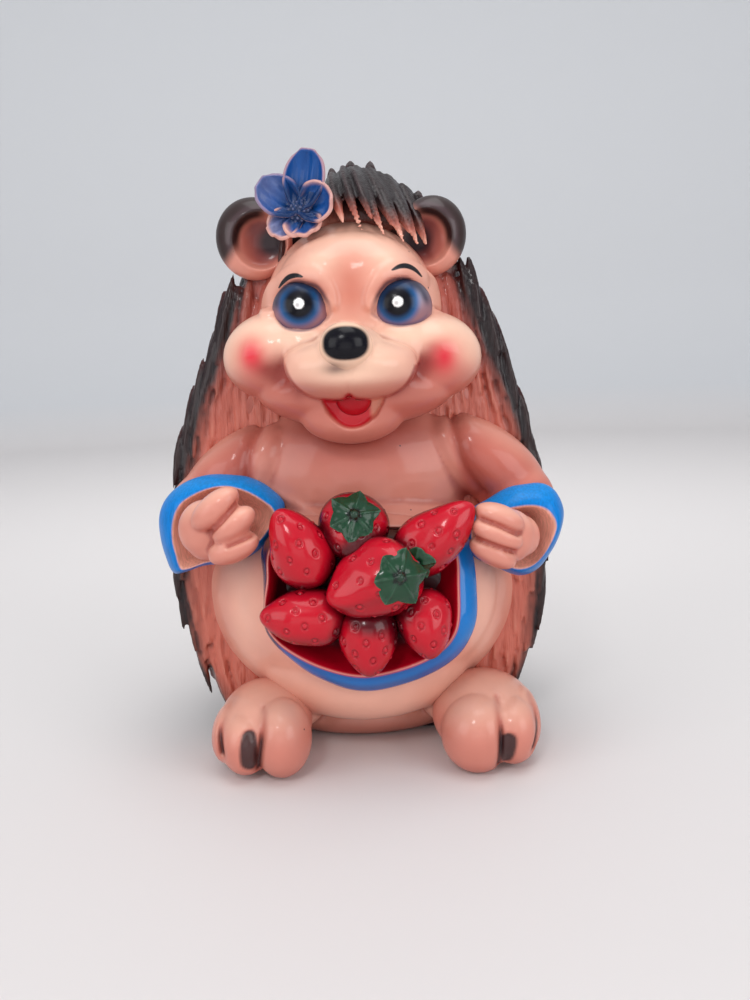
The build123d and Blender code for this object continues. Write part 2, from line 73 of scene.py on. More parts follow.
def curve(chain, steps=6, closed=False):
    # a smooth line through the points of a chain
    points = np.array(chain, float)
    count = len(points)
    line = []
    for at in range(count if closed else count - 1):
        pick = [(at + k) % count if closed else min(max(at + k, 0), count - 1) for k in (-1, 0, 1, 2)]
        a, b, c, d = points[pick]
        for step in range(steps):
            t = step / steps
            line.append(0.5 * (2 * b + (c - a) * t + (2 * a - 5 * b + 4 * c - d) * t ** 2
                               + (3 * b - a - 3 * c + d) * t ** 3))
    if not closed:
        line.append(points[-1])
    return np.array(line)


def addPiece(name, bm, nodes=()):
    mesh = bpy.data.meshes.new(name)
    bm.to_mesh(mesh)
    bm.free()
    piece = bpy.data.objects.new(name, mesh)
    bpy.context.scene.collection.objects.link(piece)
    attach(piece, "root")
    if nodes:
        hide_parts(*nodes)
    return piece


def addLump(bm, centre, radii, turn=(0, 0, 0), detail=4):
    made = bmesh.ops.create_icosphere(bm, subdivisions=detail, radius=1)["verts"]
    turned = Euler([radians(angle) for angle in turn]).to_matrix().to_4x4()
    sized = Matrix.Diagonal((*(Vector(radii) * mm), 1))
    bmesh.ops.transform(bm, matrix=Matrix.Translation(Vector(centre) * mm) @ turned @ sized, verts=made)
    return made


def subdivide(piece, levels):
    smooth = piece.modifiers.new("smooth", "SUBSURF")
    smooth.levels = smooth.render_levels = levels
    settle(piece)


def settle(piece):
    # the modifiers are applied to the mesh
    graph = bpy.context.evaluated_depsgraph_get()
    done = bpy.data.meshes.new_from_object(piece.evaluated_get(graph))
    rough = piece.data
    piece.modifiers.clear()
    piece.data = done
    bpy.data.meshes.remove(rough)
    done.name = piece.name


# size of the faces in mm, and rounds of smoothing
skinSizes = {"head": (1.07, 16), "torso": (1.3, 21), "fist": (0.9, 10), "foot": (1.0, 8), "ear": (0.8, 3),
             "leaf": (0.45, 2), "button": (0.5, 1), "quills": (1.25, 0), "fur": (1.1, 1), "crown": (0.75, 2)}


def fuse(piece, kind):
    # the lumps of a piece become one skin of even small faces
    voxel, rounds = skinSizes[kind]
    skin = piece.modifiers.new("skin", "REMESH")
    skin.mode = "VOXEL"
    skin.voxel_size = voxel * mm
    skin.use_smooth_shade = True
    if rounds:
        soft = piece.modifiers.new("soft", "SMOOTH")
        soft.factor = 0.5
        soft.iterations = rounds
    settle(piece)


def refine(piece, boxes):
    # smaller faces within boxes, each with a centre, a reach and a number of cuts, for painted lines
    for centre, reach, cuts in boxes:
        bm = bmesh.new()
        bm.from_mesh(piece.data)
        low, high = (Vector(centre) - Vector(reach)) * mm, (Vector(centre) + Vector(reach)) * mm
        held = {vert for vert in bm.verts if all(low[axis] < vert.co[axis] < high[axis] for axis in range(3))}
        inner = [edge for edge in bm.edges if held.issuperset(edge.verts)]
        bmesh.ops.subdivide_edges(bm, edges=inner, cuts=cuts, use_grid_fill=True)
        bm.to_mesh(piece.data)
        bm.free()


class Clay:
    # a mesh whose points are pushed, smoothed and painted
    def __init__(self, piece, base="skin"):
        self.mesh = piece.data
        count = len(self.mesh.vertices)
        self.points = self.read(self.mesh.vertices, "co", count, 3) / mm
        self.edges = self.read(self.mesh.edges, "vertices", len(self.mesh.edges), 2, np.int32)
        self.valence = np.maximum(np.bincount(self.edges.ravel(), minlength=count), 1)
        self.tints = np.tile(colour(base), (count, 1))
        self.update()

    def read(self, owner, name, count, width, kind=np.float32):
        flat = np.empty(count * width, kind)
        owner.foreach_get(name, flat)
        return flat.reshape(count, width).astype(float if kind is np.float32 else int)

    def update(self):
        self.mesh.vertices.foreach_set("co", (self.points * mm).astype(np.float32).ravel())
        self.mesh.update()
        self.normals = self.read(self.mesh.vertex_normals, "vector", len(self.points), 3)

    def neighbours(self, values):
        total = np.zeros_like(values)
        a, b = self.edges.T
        for axis in range(values.shape[1]):
            total[:, axis] = np.bincount(a, values[b, axis],
                                         len(values)) + np.bincount(b, values[a, axis], len(values))
        return total / self.valence[:, None]

    def smooth(self, rounds, weight=1.0):
        weight = np.broadcast_to(weight, len(self.points))[:, None] * 0.5
        for turn in range(rounds):
            self.points += (self.neighbours(self.points) - self.points) * weight
        self.update()

    def near(self, centre, reach):
        # 1 at the centre, falling off smoothly over the reach, which may differ by axis or be None
        reach = np.broadcast_to(reach, 3)
        away = sum(((self.points[:, axis] - centre[axis]) / reach[axis]) ** 2 for axis in range(3)
                   if reach[axis])
        return np.exp(-away)

    def distance(self, chain, axes=(0, 1, 2), reach=24):
        # from the points to a chain, over the axes given; points beyond the reach count as far off
        own = self.points[:, axes]
        chain = np.asarray(chain, float)[:, axes] if np.shape(chain)[1] == 3 else np.asarray(chain, float)
        close = np.flatnonzero(((own > chain.min(0) - reach) & (own < chain.max(0) + reach)).all(1))
        own = own[close]
        best = np.full(len(own), 1e3)
        for a, b in zip(chain, chain[1:]):
            span = b - a
            share = np.clip((own - a) @ span / max(span @ span, 1e-9), 0, 1)
            gap = own - a - share[:, None] * span
            best = np.minimum(best, (gap * gap).sum(1))
        full = np.full(len(self.points), 1e3)
        full[close] = np.sqrt(best)
        return full

    def front(self, limit=-0.05):
        return ease(-self.normals[:, 1], -limit - 0.15, -limit + 0.25)

    def line(self, chain, width, steps=6):
        # along a smooth line seen from the front
        flat = curve([(point[0], point[-1]) for point in chain], steps)
        return np.exp(-(self.distance(flat, (0, 2)) / width) ** 2) * self.front()

    def inside(self, outline, soft, steps=5):
        # within a smooth closed outline seen from the front
        flat = curve([(point[0], point[-1]) for point in outline], steps, closed=True)
        ring = np.vstack([flat, flat[:1]])
        away = self.distance(ring, (0, 2), soft + 1)
        inner = ((self.points[:, (0, 2)] > ring.min(0)) & (self.points[:, (0, 2)] < ring.max(0))).all(1)
        close = np.flatnonzero(inner)
        x, z = self.points[close, 0], self.points[close, 2]
        odd = np.zeros(len(close), bool)
        for (x1, z1), (x2, z2) in zip(ring, ring[1:]):
            crosses = (z1 > z) != (z2 > z)
            odd ^= crosses & (x < (x2 - x1) * (z - z1) / (z2 - z1 if z2 != z1 else 1e-9) + x1)
        inner[close] = odd
        return ease(np.where(inner, away, -away), -soft, soft) * self.front()

    def raiseBy(self, weight, height):
        self.points += self.normals * (weight * height)[:, None]
        self.update()

    def move(self, weight, step):
        self.points += weight[:, None] * np.array(step, float)
        self.update()

    def hollows(self, rounds):
        # above 0 in grooves, below 0 on ridges, in mm
        soft = self.points.copy()
        for turn in range(rounds):
            soft = self.neighbours(soft)
        return ((soft - self.points) * self.normals).sum(1)

    def tint(self, weight, name, strength=1.0):
        share = np.broadcast_to(np.clip(weight * strength, 0, 1), len(self.points))[:, None]
        self.tints = self.tints * (1 - share) + colour(name) * share

    def finish(self):
        self.update()
        layer = self.mesh.attributes.new("paint", "FLOAT_COLOR", "POINT")
        full = np.hstack([self.tints, np.ones((len(self.tints), 1))]).astype(np.float32)
        layer.data.foreach_set("color", full.ravel())


def adder(tree):
    # makes the nodes of a tree, each with its constants and what feeds it, and gives the output asked for
    def add(kind, result, values=(), feeds=()):
        node = tree.nodes.new("ShaderNode" + kind)
        if kind == "Mix":
            node.data_type = "RGBA"
        for socket, value in dict(values).items():
            node.inputs[socket].default_value = value
        for socket, source in dict(feeds).items():
            tree.links.new(source, node.inputs[socket])
        return node.outputs[result]

    return add


# scales of the noises, and how far the hair and the brush are drawn out along Z
grains = {"mottle": 38, "fine": 220, "hair": 620, "brush": 900, "pinholes": 55, "hairStretch": 0.14,
          "brushStretch": 0.12, "pinhole": (0.02, 0.035), "coatRough": 0.09}


def lacquer(name, rough=0.32, coat=0.2, gleam=0.25, bump=0.12, pits=False, streak=0.0, fibre=0.0):
    # airbrushed paint under clear lacquer, with the casting's grain and pinholes
    material = bpy.data.materials.new(name)
    material.use_nodes = True
    shader = material.node_tree.nodes["Principled BSDF"]
    add = adder(material.node_tree)
    where = {"Vector": add("TexCoord", "Object")}
    paint = material.node_tree.nodes.new("ShaderNodeAttribute")
    paint.attribute_name = "paint"
    mottle = add("TexNoise", "Fac", {"Scale": grains["mottle"], "Detail": 5}, where)
    value = add("MapRange", "Result", {"From Min": 0.3, "From Max": 0.7, "To Min": 0.94, "To Max": 1.05},
                {"Value": mottle})
    top = add("HueSaturation", "Color", feeds={"Color": paint.outputs["Color"], "Value": value})
    if fibre:
        along = add("Mapping", "Vector", {"Scale": (1.0, 1.0, grains["hairStretch"])}, where)
        height = add("TexNoise", "Fac", {"Scale": grains["hair"], "Detail": 2}, {"Vector": along})
    else:
        height = add("TexNoise", "Fac", {"Scale": grains["fine"], "Detail": 3}, where)
    if streak:
        along = add("Mapping", "Vector", {"Scale": (1.0, 1.0, grains["brushStretch"])}, where)
        brush = add("TexNoise", "Fac", {"Scale": grains["brush"], "Detail": 2}, {"Vector": along})
        limits = {"From Min": 0.35, "From Max": 0.65, "To Min": 1 - streak, "To Max": 1 + streak}
        stripe = add("MapRange", "Result", limits, {"Value": brush})
        top = add("HueSaturation", "Color", feeds={"Color": top, "Value": stripe})
    # pinholes are painted as small dark dots: painted shade inside the pits, the surface itself has no holes
    if pits:
        cells = add("TexVoronoi", "Distance", {"Scale": grains["pinholes"], "Randomness": 1}, where)
        small, large = grains["pinhole"]
        hole = add("MapRange", "Result", {"From Min": small, "From Max": large}, {"Value": cells})
        top = add("Mix", "Result", {"A": (*colour("smudgeAndShade"), 1)}, {"Factor": hole, "B": top})
    uneven = add("MapRange", "Result", {"To Min": rough * 0.8, "To Max": rough * 1.25}, {"Value": mottle})
    relief = add("Bump", "Normal", {"Strength": bump, "Distance": 0.0006 + 0.0012 * fibre},
                 {"Height": height})
    shader.inputs["Coat Weight"].default_value = coat
    shader.inputs["Coat Roughness"].default_value = grains["coatRough"]
    shader.inputs["Specular IOR Level"].default_value = gleam
    for socket, source in (("Base Color", top), ("Roughness", uneven), ("Normal", relief)):
        material.node_tree.links.new(source, shader.inputs[socket])
    return material


finishes = {
    "skin": lacquer("skinLacquer", rough=0.38, coat=0.32, gleam=0.28, pits=True),
    "coat": lacquer("quillLacquer", rough=0.32, coat=0.35, gleam=0.3, bump=0.6, fibre=1.0),
    "fur": lacquer("furLacquer", rough=0.36, coat=0.25, gleam=0.25, bump=0.55, fibre=1.0),
    "blue": lacquer("bandLacquer", rough=0.34, coat=0.12, gleam=0.15, streak=0.12),
    "berry": lacquer("berryLacquer", rough=0.24, coat=0.4, gleam=0.2, bump=0.1),
    "eye": lacquer("eyeLacquer", rough=0.30, coat=0.15, gleam=0.15, bump=0.03),
    "nose": lacquer("noseLacquer", rough=0.22, coat=0.0, gleam=0.22, bump=0.03),
    "petal": lacquer("petalLacquer", rough=0.38, coat=0.2, gleam=0.25, bump=0.4, fibre=0.4),
}


def dress(piece, finish):
    piece.data.materials.clear()
    piece.data.materials.append(finishes[finish])
    for face in piece.data.polygons:
        face.use_smooth = True


# Camera, as the photograph was taken
view = {"place": (9, -495, 210), "down": 9.0, "roll": 2.0, "lens": 30.6}
camera = bpy.data.objects.new("camera", bpy.data.cameras.new("camera"))
bpy.context.scene.collection.objects.link(camera)
camera.data.lens = view["lens"]
camera.data.clip_start = 0.01
camera.matrix_world = (Matrix.Translation(Vector(view["place"]) * mm)
                       @ Matrix.Rotation(radians(90 - view["down"]), 4, "X")
                       @ Matrix.Rotation(radians(-view["roll"]), 4, "Z"))
bpy.context.scene.camera = camera

# Pale floor that curves up into a pale backdrop
stage = {"reach": 2600, "bend": 500, "height": 1800, "rough": 0.6, "blend": 0.12,
         "floor": (0.76, 0.725, 0.715, 1), "wall": (0.69, 0.70, 0.72, 1)}
bm = bmesh.new()
profile = [(0.02, 0.0), (stage["reach"] - stage["bend"], 0.0)]
for step in range(1, 13):
    turn = pi / 2 * step / 12
    profile.append((stage["reach"] - stage["bend"] * (1 - sin(turn)), stage["bend"] * (1 - cos(turn))))
profile.append((stage["reach"], stage["height"]))
rail = [bm.verts.new((x * mm, 0, z * mm)) for x, z in profile]
for a, b in zip(rail, rail[1:]):
    bm.edges.new((a, b))
bmesh.ops.spin(bm, geom=bm.verts[:] + bm.edges[:], cent=(0, 0, 0), axis=(0, 0, 1), angle=2 * pi, steps=96,
               use_merge=True)
bmesh.ops.recalc_face_normals(bm, faces=bm.faces)
floorMesh = bpy.data.meshes.new("floor")
bm.to_mesh(floorMesh)
bm.free()
floor = bpy.data.objects.new("floor", floorMesh)
bpy.context.scene.collection.objects.link(floor)
for face in floorMesh.polygons:
    face.use_smooth = True
paper = bpy.data.materials.new("paleStage")
paper.use_nodes = True
shader = paper.node_tree.nodes["Principled BSDF"]
shader.inputs["Roughness"].default_value = stage["rough"]
add = adder(paper.node_tree)
height = add("SeparateXYZ", "Z", feeds={"Vector": add("TexCoord", "Object")})
rise = add("MapRange", "Result", {"From Max": stage["blend"]}, {"Value": height})
tone = add("Mix", "Result", {"A": stage["floor"], "B": stage["wall"]}, {"Factor": rise})
paper.node_tree.links.new(tone, shader.inputs["Base Color"])
floorMesh.materials.append(paper)

# Soft studio light
world = bpy.data.worlds.new("world")
bpy.context.scene.world = world
world.use_nodes = True
world.node_tree.nodes["Background"].inputs["Color"].default_value = (0.93, 0.96, 1.0, 1)
world.node_tree.nodes["Background"].inputs["Strength"].default_value = 0.58
lamps = {
    "overhead": ((100, -250, 1500), (0, -60, 150), 900, 6.3),
    "leftFront": ((-1100, -900, 600), (0, -40, 150), 900, 5.6),
    "rightFront": ((1000, -900, 550), (0, -40, 150), 800, 5.8),
    "lowFront": ((0, -1300, 90), (0, -60, 40), 900, 2.6),
    "sparkle": ((-260, -900, 900), (0, -60, 170), 190, 2.0),
    "backdrop": ((0, 500, 1500), (0, 2600, 500), 1500, 13.0),
}
for name, (place, target, size, power) in lamps.items():
    lamp = bpy.data.objects.new(name, bpy.data.lights.new(name, "AREA"))
    bpy.context.scene.collection.objects.link(lamp)
    lamp.data.size = size * mm
    lamp.data.energy = power
    lamp.location = Vector(place) * mm
    lamp.rotation_euler = (Vector(target) - Vector(place)).to_track_quat("-Z", "Y").to_euler()
bpy.context.scene.view_settings.view_transform = "Standard"
print("stage ready")

# Head
head = {
    "lumps": [
        ((0, -27, 238), (46.5, 47, 47)), ((1, -46, 251), (38, 28, 27)),
        ((-38, -50, 216.5), (28.5, 27, 23), (0, -6, 0)), ((38, -50, 214), (28.5, 27, 23), (0, 6, 0)),
        ((-24, -60, 221), (20, 18, 14)), ((24, -60, 220), (20, 18, 14)),
        ((-1, -76, 210), (33, 24, 14.5)), ((-1, -78, 218), (17, 21, 12.5)),
        ((1, -54, 199), (51, 28, 20.5)), ((-1, -62, 186.8), (27, 19, 16)),
        ((-2, -92, 219.2), (12.8, 13, 11.8)),
    ],
    "eyes": {
        "left": [(-9.4, 236.6), (-12, 243.4), (-15.2, 248.3), (-20, 250.3), (-26.3, 251.5), (-31.8, 249.3),
                 (-35.5, 244.7), (-36.3, 238.5), (-35.1, 233.6), (-31.4, 229.6), (-25, 228), (-19.1, 228.7),
                 (-14, 231.9)],
        "right": [(10.7, 235.4), (12.4, 240.2), (15, 245.3), (19.1, 249.5), (25, 251.2), (29.8, 250.6),
                  (34.2, 247.1), (37, 242.2), (38.3, 236.4), (36.7, 232.6), (31.7, 229.9), (24.3, 228.7),
                  (18.4, 230.3), (14.1, 232.9)],
    },
    "lids": {
        "left": [(-44.5, 235), (-45, 243.6), (-41, 252.2), (-33.6, 258.5), (-23.6, 261), (-13, 257.1),
                 (-6.6, 247.3), (-6, 238.6), (-9.5, 236.4), (-25.2, 229), (-35.3, 234.6)],
        "right": [(47, 236.3), (46.6, 244.5), (42.8, 253.3), (36, 259.2), (26.3, 261.4), (16.4, 257.9),
                  (9.2, 248.6), (6.9, 239.1), (10.7, 235.3), (24.4, 229.5), (38.4, 236)],
    },
    "muzzle": [(-33.1, 217.8), (-31, 212.1), (-28.9, 206.3), (-25.8, 201.5), (-21.2, 197.6), (-14.6, 195),
               (-8.4, 194.3), (-4.6, 194.9), (-1.6, 197.3), (1.6, 194.9), (7.3, 194), (14.1, 194.9),
               (20.3, 197.1), (24.7, 200.2), (27.7, 204.4), (29.8, 209), (33, 214), (33, 240), (-33, 240)],
    "mouth": [(-14.8, 195.5), (-12.3, 188.4), (-9.1, 184.4), (-5.3, 181.3), (-1, 180.2), (3.9, 181),
              (8.4, 183.8), (12, 187.5), (14.9, 195), (8, 202), (-8, 202)],
    "fine": [  # boxes of finer faces at the brows, mouth and eyes
        ((-29, -72, 252), (9, 20, 5), 3), ((29, -72, 255), (10, 20, 5), 3), ((0, -80, 189), (18, 18, 10), 1),
        ((-23, -66, 239.5), (17, 20, 15), 1), ((24, -66, 239.5), (17, 20, 15), 1),
    ],
    "creases": [[(-47, 213), (-41, 208), (-34, 203), (-27, 198.5)],
                [(40, 216), (35, 209), (28, 203), (20, 199)]],
    "blushes": [(-49, 217), (45.3, 213)],
    "cleft": [(-1.6, 209), (-1.6, 203), (-1.6, 196.5)],
    "brows": [
        [(-35.2, 249.9), (-32.6, 252.3), (-29.2, 254.2), (-25.3, 254.5), (-22.4, 253.6)],
        [(21.1, 255.2), (25, 257), (28.8, 257.3), (32.7, 255.8), (36, 252.8)],
    ],
}
bm = bmesh.new()
for lump in head["lumps"]:
    addLump(bm, *lump, detail=5)
headPiece = addPiece("head", bm, ("head_shell",))
fuse(headPiece, "head")
clay = Clay(headPiece)
clay.raiseBy(clay.near((0, -72, 258), (7, 14, 15)), -1.6)  # furrow between the brows
for sign, x in ((-1, -24), (1, 27)):
    side = "left" if sign < 0 else "right"
    clay.raiseBy(clay.near((x * 0.85, -66, 260), (12, 14, 6)), 1.8)  # brow
    high = clay.points[:, 2]
    clay.raiseBy(clay.inside(head["lids"][side], 0.8) * ease(high, 264, 252), 2.6)
    clay.move(clay.inside(head["eyes"][side], 0.55), (0, 5.5, 0))
    clay.raiseBy(clay.near((sign * 40, -72, 207), (10, 14, 6)), -2.6)  # beside the smile
    clay.raiseBy(clay.near((sign * 33, -78, 211), (5, 12, 5)), -1.2)
muzzle = clay.inside(head["muzzle"], 0.7) * ease(clay.points[:, 2], 224, 208)
clay.raiseBy(muzzle, 2.8)
clay.raiseBy(clay.line(head["cleft"], 1.5), -0.9)
clay.raiseBy(clay.near((-1.5, -102, 207.5), (12, 9, 2.4)), -1.3)
clay.move(clay.inside(head["mouth"], 0.7) * (1 - clay.inside(head["muzzle"], 0.7)), (0, 5.0, 0))
clay.smooth(2)
refine(headPiece, head["fine"])
clay = Clay(headPiece)
muzzle = clay.inside(head["muzzle"], 0.7) * ease(clay.points[:, 2], 224, 208)
# colours of the head
groove = clay.hollows(30)
high = clay.points[:, 2]
eyeRings = {side: np.vstack([curve(ring, 4, True), [ring[0]]]) for side, ring in head["eyes"].items()}
clay.tint(ease(high, 196, 222), "skinLight", 0.5)
# painted light: surfaces of the upper head that face up are lighter
clay.tint(ease(clay.normals[:, 2], 0.15, 0.9) * ease(high, 240, 262), "skinLight", 0.2)
# painted highlights on the top of the forehead and on the two brow bulges
clay.tint(clay.near((2, -74, 274), (26, 30, 8)), "cream", 0.6)
for x, z in ((-13, 262), (19, 262)):
    clay.tint(clay.near((x, -68, z), (8, 20, 6)), "cream", 0.65)
# painted shade in the furrow between the brows
clay.tint(clay.near((1, -74, 247), (9, 30, 17)), "furrow", 0.75)
clay.tint(clay.near((-1, -92, 210), (26, 30, 13)) * clay.inside(head["muzzle"], 0.8), "cream", 0.95)
clay.tint(clay.near((-1, -88, 222), (24, 20, 9)), "cream", 0.9)
for sign, z in ((-1, 217), (1, 214)):
    # painted highlights on the cheeks, at their outer sides and their tops
    clay.tint(clay.near((sign * 60, -50, z), (9, 30, 20)), "cream", 0.8)
    clay.tint(clay.near((sign * 45, -66, z + 13), (20, 26, 6)), "cream", 0.9)
    clay.tint(clay.near((sign * 50, -62, z - 6), (13, 24, 8)), "skin", 0.7)
    clay.tint(clay.near((sign * 28, -76, 224), (16, 20, 5)), "cream", 0.7)
    # painted shade in the hollow beside the smile
    clay.tint(clay.near((sign * 38, -72, 208.5), (9, 26, 5)) * (1 - muzzle), "skinDeep", 0.8)
    clay.tint(clay.near((sign * 33, -76, 209), (6, 22, 6)) * (1 - muzzle), "skinShade", 0.9)
lip = clay.inside(head["muzzle"], 0.7)
# painted shade below the muzzle's lower edge and under the jaw
under = (1 - lip) * ease(high, 214, 202)
clay.tint(under * clay.front(0.3), "skinDeep", 0.62)
clay.tint(under * clay.near((0, -76, 174), (30, 30, 7)), "skin", 0.8)
lipEdge = clay.distance(curve(head["muzzle"][2:16], 5), (0, 2))
clay.tint(under * np.exp(-(lipEdge / 2.2) ** 2), "skinShade", 0.55)
# painted shade on the downward faces under the chin
clay.tint(ease(-clay.normals[:, 2], 0.3, 0.9) * ease(high, 215, 195), "skinDeep", 0.6)
clay.tint(ease(groove, 0.25, 1.1) * ease(np.abs(clay.points[:, 0]), 0, 20), "skinShade", 0.45)
clay.tint(ease(clay.points[:, 1], -44, -32), "skinDeep", 0.8)
for crease in head["creases"]:
    clay.tint(clay.line(crease, 4.5) * (1 - muzzle), "skinShade", 0.6)
for x, z in head["blushes"]:
    clay.tint(clay.near((x, 0, z), (6.2, None, 7.6)) * clay.front(), "blush", 0.97)
# painted shade under the nose, on its left
clay.tint(clay.near((-7, -98, 209), (5.5, 12, 2.6)), "smudgeAndShade", 0.75)
mouth = clay.inside(head["mouth"], 0.8) * (1 - lip)
clay.tint(mouth, "mouth")
clay.tint(mouth * ease(clay.points[:, 0], 7, 10) * ease(high, 182, 187), "lips", 0.95)
for side, ring in eyeRings.items():
    away = clay.distance(ring, (0, 2))
    # painted shade cast by the upper lid, along the top of the eye
    clay.tint(np.exp(-(away / 3.2) ** 2) * clay.front() * ease(high, 240, 247), "skinDeep", 0.6)
    clay.tint(np.exp(-(away / 0.9) ** 2) * clay.front() * ease(high, 238, 244), "slate", 0.7)
    clay.tint(np.exp(-(away / 0.7) ** 2) * clay.front() * ease(-high, -236, -231), "eyeRim", 0.6)
for brow in head["brows"]:
    flat = curve(brow, 6)
    share = np.clip((clay.points[:, 0] - brow[0][0]) / (brow[-1][0] - brow[0][0]), 0, 1)
    half = 0.35 + 0.95 * np.sin(pi * share) ** 0.7
    clay.tint(ease(half - clay.distance(flat, (0, 2)), -0.2, 0.2) * clay.front(), "nose", 1.0)
clay.finish()
dress(headPiece, "skin")
print("head", len(headPiece.data.vertices))

# Eyes
eyeballs = {"left": ((-23.2, -60.8, 238), (15.8, 12.6, 15.4), (-24.6, 240.8)),
            "right": ((25.0, -60.8, 238), (16.0, 12.6, 15.0), (23.4, 240.1))}
for side, (centre, radii, gaze) in eyeballs.items():
    bm = bmesh.new()
    addLump(bm, centre, radii, detail=6)
    eye = addPiece(f"{side}Eye", bm, (f"{side}_eye",))
    clay = Clay(eye, "sclera")
    x, z = clay.points[:, 0], clay.points[:, 2]
    away = np.hypot(x - gaze[0], z - gaze[1])
    toLid = clay.distance(eyeRings[side], (0, 2))
    # painted shade of the lid: the top of the eyeball is dark slate
    clay.tint(ease(z, 239, 248), "slate", 0.9)
    clay.tint(clay.near((gaze[0] + (10.5 if side == "right" else -10.5), 0, gaze[1] + 3), (4, None, 5)),
              "eyeLight",
              0.7 if side == "right" else 0.15)
    clay.tint(ease(-away, -12.5, -8.5), "iris", 0.95)
    clay.tint(ease(-away, -10.2, -5.6), "nose")
    # more painted shade of the lid above the iris and along the upper lid's edge
    clay.tint(ease(z - gaze[1], 3, 9) * ease(-away, -13, -10), "slate", 0.6)
    clay.tint(np.exp(-(toLid / 2.2) ** 2) * ease(z, 236, 242), "slate", 0.8)
    clay.tint(np.exp(-(toLid / 0.8) ** 2) * ease(-z, -236, -231), "eyeRim", 0.8)
    clay.tint(ease(-away, -2.8, -2.4), "white")
    clay.tint(ease(-np.hypot(x - gaze[0] + 0.7, z - gaze[1] + 0.6), -1.3, -0.6), "smudgeAndShade", 0.4)
    clay.finish()
    dress(eye, "eye")

# Nose
bm = bmesh.new()
addLump(bm, (-1.9, -97, 219.2), (12.4, 12.8, 11.2), detail=6)
nose = addPiece("noseTip", bm, ("nose",))
clay = Clay(nose, "cream")
clay.raiseBy(clay.near((-1.8, -110, 219.6), (9, 5, 7)), -0.9)
x, z = clay.points[:, 0], clay.points[:, 2]
away = (np.abs((x + 1.8) / 10.3) ** 2.4 + np.abs((z - 220.3) / 7.5) ** 2.4) ** (1 / 2.4)
clay.tint(ease(-away, -1.12, -0.92) * ease(-clay.points[:, 1], 96, 100), "nose")
# painted shade on the nose's underside, to the left
clay.tint(clay.near((-7.5, -100, 210.5), (5, 6, 2)), "smudgeAndShade", 0.7)
clay.finish()
dress(nose, "nose")

# Tongue
bm = bmesh.new()
addLump(bm, (0.3, -73.5, 194.5), (9.2, 7.5, 9.0), detail=5)
tongue = addPiece("tongueTip", bm, ("tongue",))
clay = Clay(tongue, "tongue")
x, z = clay.points[:, 0], clay.points[:, 2]
clay.tint(ease(np.hypot((x - 0.3) / 9.2, (z - 194.5) / 9.0), 0.86, 0.98), "mouthDark", 0.6)
clay.finish()
dress(tongue, "eye")
print("face ready")

# Belly, chest and arms in one skin
torso = {
    "lumps": [
        ((0, -14, 86), (89, 63, 74)), ((2, -32, 88), (76, 53, 63)),
        ((0, -16, 150), (68, 46, 52)), ((-66, -38, 153.5), (38, 20, 20), (0, -39, 0)),
        ((70, -38, 156), (38, 20, 20), (0, 36, 0)), ((-82, -43, 138), (19, 18, 19)),
        ((86, -42, 136), (20, 18, 20)), ((0, -7, 10), (57, 34, 14)), ((1, -42, 48.5), (57, 34, 32)),
        ((-50, -20, 190), (24, 17, 17)), ((50, -20, 190), (24, 17, 17)),
        ((-42, -36, 22), (19, 22, 13)), ((50, -36, 22), (19, 22, 13)),
    ],
    "armpits": [
        [(-49.1, -44, 186), (-52.3, -50, 176), (-55, -54, 166), (-55.6, -58, 154), (-55, -62, 146)],
        [(51.3, -44, 184), (50.8, -50, 175), (52.7, -54, 162), (57.8, -58, 150), (65, -62, 140)],
    ],
    "lap": [(-44, 119), (-45, 98), (-42, 80), (-26, 67), (3, 60), (28, 66), (44, 78), (46, 100), (45, 121),
            (2, 124)],
    "lapDepth": -76,
    "ridges": [[(-57, 181), (-70, 174), (-78, 168), (-87, 161), (-94, 153)],
               [(54, 183), (67, 177), (78, 170), (88, 163), (96, 155)]],
    "edge": [(-54.3, -68, 152), (-42.3, -74, 144.8), (-23.3, -78, 136), (-18.8, -80, 133.8)],
}
bm = bmesh.new()
for lump in torso["lumps"]:
    addLump(bm, *lump)
torsoPiece = addPiece("torso", bm, ("torso_shell", "left_sleeve", "right_sleeve"))
fuse(torsoPiece, "torso")
clay = Clay(torsoPiece)
for pit in torso["armpits"]:
    away = clay.distance(curve(pit, 5), (0, 2)) + (1 - clay.front()) * 9
    clay.raiseBy(np.exp(-(away / 6.0) ** 2), -2.4)
    clay.raiseBy(np.exp(-(away / 2.0) ** 2), -1.6)
clay.raiseBy(np.exp(-(clay.distance(curve(torso["edge"], 5), (0, 2)) / 2.0) ** 2) * clay.front(), 1.2)
lap = clay.inside(torso["lap"], 2.5)
clay.move(lap * np.maximum(torso["lapDepth"] - clay.points[:, 1], 0),
          (0, 1, 0))  # the belly gives way to the berries
clay.points[:, 2] = np.maximum(clay.points[:, 2], 0.2)
clay.smooth(2)
lap = clay.inside(torso["lap"], 2.5)
groove = clay.hollows(40)
high = clay.points[:, 2]
x, y = clay.points[:, 0], clay.points[:, 1]
clay.tint(clay.front(0) * ease(-high, -122, -100), "skinLight", 0.32)
# painted highlights on the belly beside the pouch, and painted shade further out where the belly turns away
for sign in (-1, 1):
    clay.tint(clay.near((sign * 63, 0, 85), (9, None, 34)) * clay.front(), "skinLight", 0.55)
    clay.tint(clay.near((sign * 78, 0, 60), (8, None, 46)) * clay.front(0.3), "skinDeep", 0.35)
# painted highlights along the tops of the arms
for ridge in torso["ridges"]:
    clay.tint(np.exp(-(clay.distance(curve(ridge, 5), (0, 2)) / 5.5) ** 2), "skinLight", 0.75)
# the chest is darker and redder: redder paint, and painted shade under the head
clay.tint(clay.near((-1, -60, 164), (48, 40, 27)) * clay.front(0.2), "skinDeep", 0.6)
